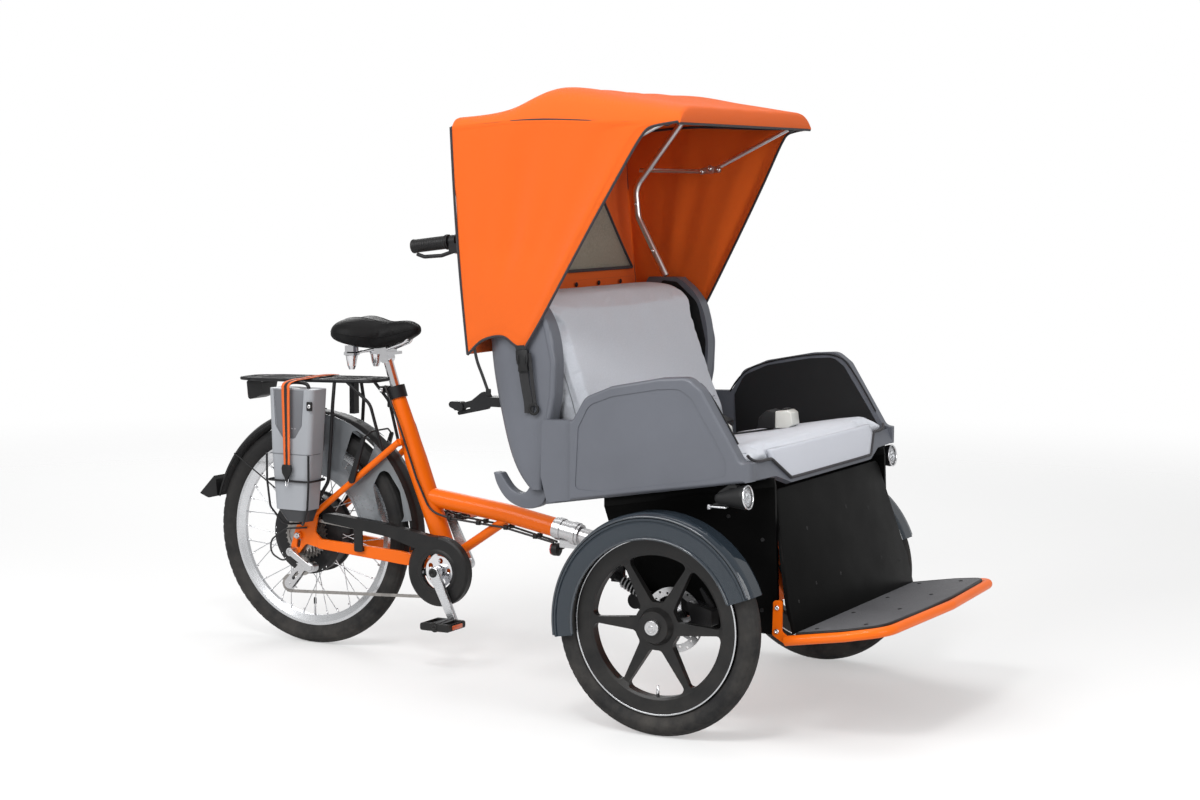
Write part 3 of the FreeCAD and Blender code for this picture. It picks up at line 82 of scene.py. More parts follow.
def link(thing):
    bpy.context.scene.collection.objects.link(thing)
    return thing


# camera
cameraSet = {"place": (3.7388, -5.2155, 1.32385), "azimuth": 28.353, "down": 5.603, "roll": 0.205,
             "lens": 67.598, "sensor": 36.0}
camera = link(bpy.data.objects.new("camera", bpy.data.cameras.new("camera")))
az, down = radians(cameraSet["azimuth"]), radians(cameraSet["down"])
back = Vector((sin(az) * cos(down), -cos(az) * cos(down), sin(down)))
right = Vector((cos(az), sin(az), 0))
turn = (Matrix((right, back.cross(right), back)).transposed()
        @ Matrix.Rotation(radians(cameraSet["roll"]), 3, "Z"))
camera.matrix_world = Matrix.Translation(at(*cameraSet["place"])) @ turn.to_4x4()
camera.data.lens = cameraSet["lens"]
camera.data.sensor_width = cameraSet["sensor"]
bpy.context.scene.camera = camera
bpy.context.scene.view_settings.view_transform = "Standard"


# node helpers
def setInputs(tree, node, inputs):
    # sockets are linked, plain values are set on the node itself
    for key, value in inputs.items():
        if isinstance(value, bpy.types.NodeSocket):
            tree.links.new(value, node.inputs[key])
        else:
            node.inputs[key].default_value = value
    return node


def addNode(tree, kind, inputs=None, **settings):
    node = tree.nodes.new("ShaderNode" + kind)
    for key, value in settings.items():
        setattr(node, key, value)
    return setInputs(tree, node, inputs or {}).outputs


def maths(tree, operation, a, b=0.0, clamp=False):
    return addNode(tree, "Math", {0: a, 1: b}, operation=operation, use_clamp=clamp)[0]


def objectPlace(tree):
    return addNode(tree, "TexCoord")["Object"]


def split(tree, vector):
    return addNode(tree, "SeparateXYZ", {0: vector})


def noise(tree, place, scale, detail, rough=0.5):
    return addNode(tree, "TexNoise", {"Vector": place, "Scale": scale, "Detail": detail,
                                      "Roughness": rough})[0]


def mapped(tree, value, low, high, toLow=0.0, toHigh=1.0, **settings):
    return addNode(tree, "MapRange", {"Value": value, "From Min": low, "From Max": high, "To Min": toLow,
                                      "To Max": toHigh}, **settings)[0]


def spread(tree, value, low, high):
    return mapped(tree, value, 0.0, 1.0, low, high)


def mixColour(tree, mask, a, b):
    return addNode(tree, "Mix", {0: mask, 6: a, 7: b}, data_type="RGBA")[2]


def bump(tree, height, distance, strength=1.0):
    return addNode(tree, "Bump", {"Height": height, "Distance": distance, "Strength": strength})[0]


def darker(colour, factor):
    return (colour[0] * factor, colour[1] * factor, colour[2] * factor, 1.0)


def newGroup(name, inputs, outputs):
    tree = bpy.data.node_groups.new(name, "ShaderNodeTree")
    for label, default in inputs.items():
        kind = "NodeSocketVector" if isinstance(default, tuple) else "NodeSocketFloat"
        tree.interface.new_socket(label, in_out="INPUT", socket_type=kind).default_value = default
    for label in outputs:
        tree.interface.new_socket(label, in_out="OUTPUT", socket_type="NodeSocketFloat")
    return tree, tree.nodes.new("NodeGroupInput").outputs, tree.nodes.new("NodeGroupOutput")


def useGroup(tree, group, **values):
    return addNode(tree, "Group", {key.replace("_", " "): v for key, v in values.items()}, node_tree=group)


# shared effects
def makeWeaveGroup():
    # over-and-under threads on whichever of the three planes the surface faces
    tree, source, target = newGroup("wovenThreads", {"Threads per metre": 900.0}, ["Height", "Thread"])
    wave = maths(tree, "MULTIPLY", source[0], pi)
    normal = split(tree, addNode(tree, "NewGeometry")["Normal"])
    sines = [maths(tree, "SINE", maths(tree, "MULTIPLY", axis, wave))
             for axis in split(tree, objectPlace(tree))]
    total, weightSum = None, None
    for i in range(3):
        pair = maths(tree, "MULTIPLY", sines[(i + 1) % 3], sines[(i + 2) % 3])
        weight = maths(tree, "POWER", maths(tree, "ABSOLUTE", normal[i]), 4.0)
        part = maths(tree, "MULTIPLY", pair, weight)
        total = part if total is None else maths(tree, "ADD", total, part)
        weightSum = weight if weightSum is None else maths(tree, "ADD", weightSum, weight)
    height = maths(tree, "DIVIDE", total, weightSum)
    setInputs(tree, target, {0: height,
                             1: maths(tree, "ADD", maths(tree, "MULTIPLY", height, 0.5), 0.5, True)})
    return tree


def makeMottleGroup():
    # soft cloudy mask between two levels
    tree, source, target = newGroup("softMottle", {"Scale": 8.0, "Detail": 4.0, "Low": 0.0, "High": 1.0},
                                    ["Mask"])
    cloud = noise(tree, objectPlace(tree), source[0], source[1], 0.55)
    setInputs(tree, target, {0: mapped(tree, cloud, 0.3, 0.7, source[2], source[3])})
    return tree


def makeGrainGroup():
    # pebbled grain of moulded plastic and leather
    tree, source, target = newGroup("pebbleGrain", {"Scale": 700.0}, ["Height"])
    place = objectPlace(tree)
    cells = addNode(tree, "TexVoronoi", {"Vector": place, "Scale": source[0]},
                    feature="SMOOTH_F1")["Distance"]
    fine = noise(tree, place, maths(tree, "MULTIPLY", source[0], 2.3), 2.0)
    setInputs(tree, target, {0: maths(tree, "ADD", cells, maths(tree, "MULTIPLY", fine, 0.5))})
    return tree


def makeDustGroup():
    # road dust: strongest near the floor, broken up by noise
    tree, source, target = newGroup("roadDust", {"Amount": 0.3, "Reach": 0.6}, ["Mask"])
    place = addNode(tree, "NewGeometry")["Position"]
    low = mapped(tree, split(tree, place)[2], 0.0, source[1], 1.0, 0.0)
    patch = mapped(tree, noise(tree, place, 14.0, 6.0, 0.65), 0.35, 0.75)
    setInputs(tree, target, {0: maths(tree, "MULTIPLY", maths(tree, "MULTIPLY", low, patch), source[0],
                                      True)})
    return tree


def makeBrushedGroup():
    # fine streaks along one direction of the piece
    tree, source, target = newGroup("brushedStreaks", {"Stretch": (40.0, 900.0, 900.0)}, ["Mask"])
    scaled = addNode(tree, "VectorMath", {0: objectPlace(tree), 1: source[0]}, operation="MULTIPLY")[0]
    setInputs(tree, target, {0: noise(tree, scaled, 1.0, 3.0)})
    return tree


weave, mottle, grain = makeWeaveGroup(), makeMottleGroup(), makeGrainGroup()
dust, brushed = makeDustGroup(), makeBrushedGroup()
roadGrey = srgb(128, 122, 114)


def mottled(tree, scale, detail, low=0.0, high=1.0):
    return useGroup(tree, mottle, Scale=scale, Detail=detail, Low=low, High=high)[0]


def dusty(tree, base, amount, reach):
    return mixColour(tree, useGroup(tree, dust, Amount=amount, Reach=reach)[0], base, roadGrey)


def pebbled(tree, scale, depth):
    return bump(tree, useGroup(tree, grain, Scale=scale)[0], depth)


# finishes
def newMaterial(name):
    material = bpy.data.materials.new(name)
    material.use_nodes = True
    return material, material.node_tree, material.node_tree.nodes["Principled BSDF"]


def cloth(name, colour, threads, depth, fleck=0.82, rough=0.9, sheen=0.3, patches=3.0):
    # woven fabric: threads, flecks between them and slow changes of tone, and painted shade where the weave
    # dips
    material, tree, bsdf = newMaterial(name)
    height, thread = useGroup(tree, weave, Threads_per_metre=threads)
    base = mixColour(tree, mottled(tree, threads * 0.45, 2.0), darker(colour, fleck), colour)
    base = mixColour(tree, maths(tree, "MULTIPLY", mottled(tree, patches, 3.0), 0.5), base,
                     darker(colour, 0.9))
    # painted shade: darker in the low parts of the weave
    base = mixColour(tree, spread(tree, thread, 0.25, 0.0), base, darker(colour, 0.6))
    setInputs(tree, bsdf, {"Base Color": base, "Normal": bump(tree, height, depth), "Roughness": rough,
                           "Sheen Weight": sheen, "Sheen Roughness": 0.5, "Specular IOR Level": 0.25})
    return material


def moulded(name, colour, grainScale, depth, rough, dustAmount=0.0, dustReach=0.6, coat=0.0, shine=0.5):
    # moulded plastic, rubber or leather: pebbled grain and slightly uneven sheen
    material, tree, bsdf = newMaterial(name)
    tone = mottled(tree, 5.0, 5.0)
    base = mixColour(tree, tone, colour, darker(colour, 0.86))
    if dustAmount:
        base = dusty(tree, base, dustAmount, dustReach)
    setInputs(tree, bsdf, {"Base Color": base, "Roughness": spread(tree, tone, rough - 0.05, rough + 0.07),
                           "Normal": pebbled(tree, grainScale, depth), "Specular IOR Level": shine,
                           "Coat Weight": coat, "Coat Roughness": 0.1})
    return material


def lacquered(name, colour, rough=0.45, coat=0.22, dustAmount=0.12):
    # paint under clear lacquer, with the faint ripple of sprayed paint
    material, tree, bsdf = newMaterial(name)
    tone = mottled(tree, 4.0, 3.0)
    base = dusty(tree, mixColour(tree, tone, colour, darker(colour, 0.93)), dustAmount, 0.5)
    ripple = noise(tree, objectPlace(tree), 260.0, 1.0)
    setInputs(tree, bsdf, {"Base Color": base, "Roughness": spread(tree, tone, rough - 0.04, rough + 0.06),
                           "Normal": bump(tree, ripple, 0.00012, 0.4), "Specular IOR Level": 0.15,
                           "Coat Weight": coat, "Coat Roughness": 0.05})
    return material


def metal(name, colour, rough, grime=0.0):
    # bare or plated metal with brushed streaks and a little grime
    material, tree, bsdf = newMaterial(name)
    streak = useGroup(tree, brushed, Stretch=(40.0, 900.0, 900.0))[0]
    tone = mottled(tree, 30.0, 5.0)
    base = mixColour(tree, maths(tree, "MULTIPLY", tone, grime), colour, darker(colour, 0.25))
    base = mixColour(tree, spread(tree, streak, 0.0, 0.25), base, darker(colour, 0.75))
    setInputs(tree, bsdf, {"Base Color": base, "Roughness": spread(tree, streak, rough * 0.7, rough * 1.4),
                           "Metallic": spread(tree, tone, 1.0, 1.0 - 0.4 * grime),
                           "Normal": bump(tree, streak, 0.00004, 0.5)})
    return material


def clear(name, colour, rough, transmission):
    # see-through moulded plastic or glass
    material, tree, bsdf = newMaterial(name)
    setInputs(tree, bsdf, {"Base Color": colour, "Transmission Weight": transmission, "IOR": 1.49,
                           "Roughness": mottled(tree, 12.0, 4.0, rough * 0.7, rough * 1.3 + 0.01)})
    return material


def lined(name, colour, grooveShade, along, period, depth, rough=0.6):
    # ribbed webbing: a regular raised pattern along one axis, its grooves in the darker colour as painted
    # shade
    material, tree, bsdf = newMaterial(name)
    axis = split(tree, objectPlace(tree))[along]
    ridge = maths(tree, "SINE", maths(tree, "MULTIPLY", axis, 2 * pi / period))
    mask = maths(tree, "ADD", maths(tree, "MULTIPLY", ridge, 0.5), 0.5, True)
    height = useGroup(tree, weave, Threads_per_metre=1100.0)[0]
    setInputs(tree, bsdf, {"Base Color": mixColour(tree, mask, grooveShade, colour), "Roughness": rough,
                           "Normal": bump(tree, maths(tree, "ADD", mask, height), depth)})
    return material


def footboard(name):
    # film-faced board with an embossed wire pattern, its raised lines lighter as a painted highlight
    material, tree, bsdf = newMaterial(name)
    cells = addNode(tree, "TexVoronoi", {"Vector": objectPlace(tree), "Scale": 170.0},
                    feature="DISTANCE_TO_EDGE")
    ridge = mapped(tree, cells["Distance"], 0.02, 0.12, 1.0, 0.0)
    tone = mottled(tree, 7.0, 6.0)
    base = mixColour(tree, tone, srgb(80, 80, 83), srgb(94, 94, 97))
    # painted highlight: the raised lines of the pattern lighter
    base = mixColour(tree, maths(tree, "MULTIPLY", ridge, 0.5), base, srgb(112, 112, 116))
    setInputs(tree, bsdf, {"Base Color": base, "Normal": bump(tree, ridge, 0.0008),
                           "Roughness": spread(tree, tone, 0.5, 0.75)})
    return material


def batteryCase(name):
    # light shell over a charcoal foot, split at one height
    material, tree, bsdf = newMaterial(name)
    foot = mapped(tree, split(tree, objectPlace(tree))[2], 0.4035, 0.4045, 1.0, 0.0)
    tone = mottled(tree, 6.0, 4.0, 0.0, 0.4)
    base = mixColour(tree, tone, srgb(154, 157, 162), srgb(138, 141, 146))
    setInputs(tree, bsdf, {"Base Color": mixColour(tree, foot, base, srgb(52, 53, 56)),
                           "Normal": pebbled(tree, 1400.0, 0.00008),
                           "Roughness": spread(tree, tone, 0.38, 0.5)})
    return material


finish = {
    "orange_paint": lacquered("orangeLacquer", srgb(236, 104, 4), dustAmount=0.05),
    "bare_steel": metal("brushedSteel", (0.62, 0.62, 0.63, 1), 0.28),
    "chrome": metal("platedChrome", (0.82, 0.82, 0.84, 1), 0.12, grime=0.1),
    "black_metal": moulded("powderBlack", srgb(26, 26, 28), 1800.0, 0.00006, 0.42, 0.08, shine=0.3),
    "saddle_skin": moulded("saddleVinyl", srgb(16, 16, 17), 520.0, 0.0003, 0.5, shine=0.14),
    "black_plastic": moulded("blackPlastic", srgb(24, 24, 25), 1500.0, 0.0001, 0.45, 0.08, shine=0.3),
    "smoke_plastic": clear("smokedSheet", (0.30, 0.32, 0.34, 1), 0.22, 0.55),
    "grey_plastic": batteryCase("batteryShell"),
    "strap_webbing": cloth("blackWebbing", srgb(38, 38, 40), 700.0, 0.0004, 0.7, 0.7, 0.1),
    "chain_steel": metal("oiledSteel", (0.42, 0.40, 0.38, 1), 0.34, grime=0.5),
    "cable_sheath": moulded("cableSheath", srgb(26, 26, 27), 900.0, 0.00005, 0.45),
    "tyre_rubber": moulded("tyreRubber", srgb(31, 31, 32), 800.0, 0.0002, 0.7, 0.22, 0.7, shine=0.25),
    "rim_alloy": metal("rimAlloy", (0.72, 0.73, 0.75, 1), 0.26, grime=0.15),
    "bench_plastic": moulded("benchPlastic", srgb(93, 96, 104), 1100.0, 0.00014, 0.48, coat=0.1),
    "cushion_fabric": cloth("cushionCloth", srgb(214, 218, 226), 850.0, 0.00035, 0.84, 0.95, 0.25, 5.0),
    "black_panel": moulded("panelBlack", srgb(9, 9, 9), 1600.0, 0.00004, 0.42, 0.01, shine=0.05),
    "footplate_grip": footboard("gripBoard"),
    "mudguard_gloss": clear("smokedGuard", (0.036, 0.050, 0.066, 1), 0.04, 0.45),
    "hood_fabric": cloth("hoodCloth", srgb(235, 101, 22), 1000.0, 0.0003, 0.9, 0.8, 0.08, 2.0),
    "frame_tube": metal("satinAluminium", (0.74, 0.72, 0.72, 1), 0.3),
    "cast_wheel_black": moulded("castBlack", srgb(17, 17, 18), 1500.0, 0.00005, 0.38, 0.1, coat=0.1,
                                shine=0.3),
}
piping = cloth("pipingTape", srgb(56, 54, 58), 1200.0, 0.0003, 0.8, 0.8, 0.1)
windowNet = cloth("windowNet", srgb(158, 154, 138), 520.0, 0.0006, 0.6, 0.9, 0.1, 9.0)
cushionSeam = cloth("cushionSeamThread", srgb(150, 154, 161), 1400.0, 0.0002, 0.8, 0.9, 0.1)
# the cushion cloth made a little darker for the seat's front flap: painted shade on the flap's front face
flapShadedCloth = cloth("flapShadedCloth", srgb(204, 207, 216), 850.0, 0.00035, 0.88, 0.95, 0.25, 5.0)
# the second colour of each ribbed band is painted shade in its grooves
webbingWeave = lined("ribbedWebbing", srgb(40, 40, 42), srgb(26, 26, 28), 2, 0.0022, 0.0003, 0.75)
webbingFlat = lined("beltWebbing", srgb(36, 36, 38), srgb(24, 24, 26), 0, 0.0024, 0.0003, 0.75)
strapOrange = lined("orangeRubberBand", srgb(236, 108, 30), srgb(214, 92, 24), 2, 0.0026, 0.0002, 0.6)
latchPlate = moulded("latchPlate", srgb(214, 214, 208), 1500.0, 0.00003, 0.3, coat=0.6)
stripeWhite = moulded("reflectiveLine", srgb(196, 196, 194), 1500.0, 0.00003, 0.5, 0.25, 0.7)
lensClear = clear("clearLens", (0.92, 0.94, 0.96, 1), 0.05, 0.9)
lensRed = moulded("redLens", srgb(176, 20, 18), 420.0, 0.0003, 0.22, coat=0.8)
amberLens = moulded("amberLens", srgb(226, 92, 18), 600.0, 0.0002, 0.25, coat=0.7)
batteryDark = moulded("batteryPanel", srgb(104, 106, 111), 1400.0, 0.00008, 0.45)
guardEdge = moulded("guardEdge", srgb(44, 52, 60), 1500.0, 0.00002, 0.16, coat=1.0)
print("finishes made:", len(finish))

for part in frame["record"]["subparts"]:
    mesh = frame["nodes"][part["node"]].data
    mesh.materials.clear()
    mesh.materials.append(finish[part["material_slot"]])


# stage and light
stageSet = {"floorRadius": 7.0, "solidRadius": 2.6, "floorTone": 0.82, "worldLight": 0.56, "glossShare": 0.75,
            "floorShare": 0.62}


def makeFloor():
    s = stageSet
    mesh = bpy.data.meshes.new("floor")
    form = bmesh.new()
    bmesh.ops.create_circle(form, cap_ends=True, segments=96, radius=s["floorRadius"])
    form.to_mesh(mesh)
    form.free()
    link(bpy.data.objects.new("floor", mesh))
    material, tree, bsdf = newMaterial("floorPaper")
    reach = addNode(tree, "VectorMath", {0: objectPlace(tree)}, operation="LENGTH")["Value"]
    fade = mapped(tree, reach, s["solidRadius"], s["floorRadius"], s["floorShare"], 0.0,
                  interpolation_type="SMOOTHSTEP")
    setInputs(tree, bsdf, {"Base Color": (s["floorTone"], s["floorTone"], s["floorTone"], 1),
                           "Roughness": 0.9,
                           "Specular IOR Level": 0.1, "Alpha": fade})
    mesh.materials.append(material)


def makeWorld():
    world = bpy.data.worlds.new("studio")
    bpy.context.scene.world = world
    world.use_nodes = True
    tree = world.node_tree
    path = addNode(tree, "LightPath")
    seen = maths(tree, "MAXIMUM", path["Is Camera Ray"], path["Is Transmission Ray"])
    mirrored = maths(tree, "MULTIPLY", path["Is Glossy Ray"], 1 - stageSet["glossShare"])
    strength = spread(tree, maths(tree, "SUBTRACT", seen, mirrored), stageSet["worldLight"], 1.0)
    setInputs(tree, tree.nodes["Background"], {0: (1, 1, 1, 1), 1: strength})


def addLamp(name, place, aim, size, power):
    light = bpy.data.lights.new(name, "AREA")
    light.shape, light.size, light.energy = "DISK", size, power
    lamp = link(bpy.data.objects.new(name, light))
    lamp.location = Vector(place)
    lamp.rotation_euler = (Vector(aim) - Vector(place)).to_track_quat("-Z", "Y").to_euler()


makeFloor()
makeWorld()
addLamp("keyLamp", (-1.6, -4.6, 3.8), (0, 0, 0.7), 3.4, 175)
addLamp("fillLamp", (5.0, -2.2, 2.2), (0.2, 0, 0.8), 3.0, 95)
addLamp("topLamp", (0.2, 0.6, 5.0), (0, 0, 0), 3.4, 60)
addLamp("guardLamp", (0.9, -2.6, 3.4), (0.6, -0.5, 0.4), 0.8, 45)
addLamp("rimLamp", (-3.5, 4.0, 3.2), (0, 0, 0.8), 2.5, 80)
print("stage and light set")


# mesh helpers
def settle(piece, body):
    link(piece)
    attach(piece, body)
    return piece


def addPiece(name, mesh, slotName, body="front_carriage", material=None, smooth=True):
    mesh.materials.append(material or finish[slotName])
    if smooth:
        mesh.shade_smooth()
    return settle(bpy.data.objects.new(name, mesh), body)


def meshFrom(name, verts, faces, merge=0.0):
    form = bmesh.new()
    points = [form.verts.new(v) for v in verts]
    for face in faces:
        try:
            form.faces.new([points[i] for i in face])
        except ValueError:
            pass
    if merge:
        bmesh.ops.remove_doubles(form, verts=form.verts, dist=merge)
    bmesh.ops.recalc_face_normals(form, faces=form.faces)
    mesh = bpy.data.meshes.new(name)
    form.to_mesh(mesh)
    form.free()
    return mesh


def join(parts):
    verts, faces = [], []
    for v, f in parts:
        faces += [tuple(i + len(verts) for i in face) for face in f]
        verts += v
    return verts, faces


def fitPiece(name, parts, slotName, body="front_carriage", material=None, smooth=True, merge=1e-6):
    # one piece made of any number of small parts
    return addPiece(name, meshFrom(name, *join(parts), merge), slotName, body, material, smooth)


def applyModifiers(piece):
    graph = bpy.context.evaluated_depsgraph_get()
    mesh = bpy.data.meshes.new_from_object(piece.evaluated_get(graph))
    piece.modifiers.clear()
    piece.data = mesh


def roundOff(piece):
    # one level of subdivision, kept in the mesh
    smooth = piece.modifiers.new("smooth", "SUBSURF")
    smooth.levels = smooth.render_levels = 1
    applyModifiers(piece)
    piece.data.shade_smooth()


def bevelled(name, parts, slotName, width=0.001, segments=2, body="front_carriage", material=None):
    piece = fitPiece(name, parts, slotName, body, material)
    edge = piece.modifiers.new("edge", "BEVEL")
    edge.width, edge.segments, edge.limit_method = width, segments, "ANGLE"
    edge.angle_limit = radians(35)
    applyModifiers(piece)
    return piece


def strip(name, lines, radius, slotName, body="front_carriage", material=None):
    # round cord or piping along one or more point lists, as smooth curves
    curve = bpy.data.curves.new(name, "CURVE")
    curve.dimensions = "3D"
    curve.bevel_depth = radius
    curve.bevel_resolution = 3
    curve.use_fill_caps = True
    for points in lines:
        spline = curve.splines.new("NURBS")
        spline.points.add(len(points) - 1)
        for point, place in zip(spline.points, points):
            point.co = (*place, 1)
        spline.order_u = 3
        spline.use_endpoint_u = True
        spline.resolution_u = 4
    curve.materials.append(material or finish[slotName])
    return settle(bpy.data.objects.new(name, curve), body)


def gridFaces(index, rows, columns, skip=lambda a, b: False):
    # quads between the neighbours of an index by row and column
    return [(index[a, b], index[a, b + 1], index[a + 1, b + 1], index[a + 1, b])
            for a in range(rows - 1) for b in range(columns - 1) if not skip(a, b)]


def tubeFaces(rings, n, closed=False):
    # quads round closed outlines of n points that follow one another
    return [(k * n + i, k * n + (i + 1) % n, (k + 1) % rings * n + (i + 1) % n, (k + 1) % rings * n + i)
            for k in range(rings if closed else rings - 1) for i in range(n)]


def spinProfile(profile, x, y, z, steps=96, axis=(0, 1, 0)):
    # closed (radius, distance along the axis) section turned round an axis through the place
    along = Vector(axis).normalized()
    across = along.orthogonal().normalized()
    third = along.cross(across)
    base = at(x, y, z)
    verts = []
    for k in range(steps):
        a = 2 * pi * k / steps
        out = across * cos(a) + third * sin(a)
        verts += [base + out * r + along * t for r, t in profile]
    return verts, tubeFaces(steps, len(profile), True)


def capFaces(n):
    # closes both ends of a prism of n-sided outlines
    return [tuple(range(n)), tuple(range(2 * n - 1, n - 1, -1))] + tubeFaces(2, n)


def prism(outline, axis, low, high):
    # outline of (u, v) points given depth along one axis: 0 is x, 1 is y, 2 is z
    verts = [at(*{0: (depth, u, v), 1: (u, depth, v), 2: (u, v, depth)}[axis])
             for depth in (low, high) for u, v in outline]
    return verts, capFaces(len(outline))


def roundedBox(x, y, z, axis=1, corner=0.003, steps=3):
    # box between pairs of limits, whose outline across the axis has round corners
    (u0, u1), (v0, v1), (low, high) = {0: (y, z, x), 1: (x, z, y), 2: (x, y, z)}[axis]
    outline = []
    for cu, cv, start in ((u1, v1, 0), (u0, v1, 90), (u0, v0, 180), (u1, v0, 270)):
        mu = cu - copysign(corner, cu - (u0 + u1) / 2)
        mv = cv - copysign(corner, cv - (v0 + v1) / 2)
        for k in range(steps + 1):
            a = radians(start + 90 * k / steps)
            outline.append((mu + corner * cos(a), mv + corner * sin(a)))
    return prism(outline, axis, low, high)


def domes(places, radius, height, axis, steps=14):
    # low domed screw heads
    profile = [(0.0, -0.0005), (radius, -0.0005), (radius, height * 0.35), (radius * 0.8, height * 0.8),
               (radius * 0.42, height), (radius * 0.36, height * 0.55), (0.0, height * 0.55)]
    return join([spinProfile(profile, *place, steps, axis) for place in places])


def curveThrough(points, count):
    # evenly spread points on a smooth curve through the given ones
    p = [np.array(q, float) for q in points]
    p = [2 * p[0] - p[1]] + p + [2 * p[-1] - p[-2]]
    fine = []
    for i in range(1, len(p) - 2):
        for t in np.linspace(0, 1, 24, endpoint=False):
            a, b, c, d = p[i - 1:i + 3]
            fine.append(0.5 * (2 * b + (c - a) * t + (2 * a - 5 * b + 4 * c - d) * t * t
                               + (3 * b - a - 3 * c + d) * t ** 3))
    fine.append(p[-2])
    fine = np.array(fine)
    run = np.concatenate([[0], np.cumsum(np.linalg.norm(np.diff(fine, axis=0), axis=1))])
    want = np.linspace(0, run[-1], count)
    return np.stack([np.interp(want, run, fine[:, k]) for k in range(fine.shape[1])], axis=1)


def stitchRow(points, normal, lift, pitch=0.0045, length=0.003, radius=0.00045):
    # short spindles laid along a line of points on a surface
    run = sum((Vector(b) - Vector(a)).length for a, b in zip(points, points[1:]))
    pts = curveThrough(points, max(2, int(run / pitch)))
    out = Vector(normal).normalized()
    verts, faces = [], []
    for start, end in zip(pts, pts[1:]):
        along = (Vector(end) - Vector(start)).normalized()
        aside = along.cross(out)
        here = Vector(start) + out * lift
        n = len(verts)
        verts += [here - along * length / 2, here + along * length / 2]
        verts += [here + aside * radius, here + out * radius, here - aside * radius, here - out * radius]
        for k in range(4):
            a, b = n + 2 + k, n + 2 + (k + 1) % 4
            faces += [(n, a, b), (n + 1, b, a)]
    return verts, faces


# hood
hoodSet = {
    # x, crown height, its half width, seam height, its half width
    "stations": ((0.752, 1.470, 0.440, 1.450, 0.462), (0.880, 1.496, 0.420, 1.462, 0.450),
                 (1.005, 1.548, 0.392, 1.468, 0.440), (1.180, 1.528, 0.384, 1.462, 0.425),
                 (1.346, 1.500, 0.376, 1.460, 0.396)),
    "hemHalf": 0.470, "hemBase": 0.860,
    "hem": ((0.804, 0.889), (0.846, 0.926), (0.901, 0.938), (0.940, 0.916), (0.966, 0.910)),
    "frontEdge": ((0.966, 0.910), (1.011, 0.982), (1.081, 1.107), (1.187, 1.298), (1.262, 1.432),
                  (1.290, 1.450), (1.346, 1.460)),
    "rearFoot": (0.804, 0.889), "rearTop": (0.752, 1.450), "hoop": 1.005, "nose": 1.346,
    "window": (1.083, 0.432, 1.288, 0.262),     # bottom height and half width, top height and half width
    "overlap": 0.006, "valance": 1.456, "columns": 44, "cloth": 0.0014, "pipe": 0.0032,
    "sag": 0.012, "belly": 0.012, "fold": 0.0045,
}
smoothRows = curveThrough(hoodSet["stations"], 80)


def stationAt(x):
    return [float(np.interp(x, smoothRows[:, 0], smoothRows[:, k])) for k in range(1, 5)]


def sideHalf(x, z):
    _, _, seam, seamHalf = stationAt(x)
    t = limit((z - hoodSet["hemBase"]) / (seam - hoodSet["hemBase"]))
    return hoodSet["hemHalf"] + (seamHalf - hoodSet["hemHalf"]) * t


def rearX(z):
    # slope of the rear panel
    (footX, footZ), (topX, topZ) = hoodSet["rearFoot"], hoodSet["rearTop"]
    return footX + (topX - footX) * (z - footZ) / (topZ - footZ)


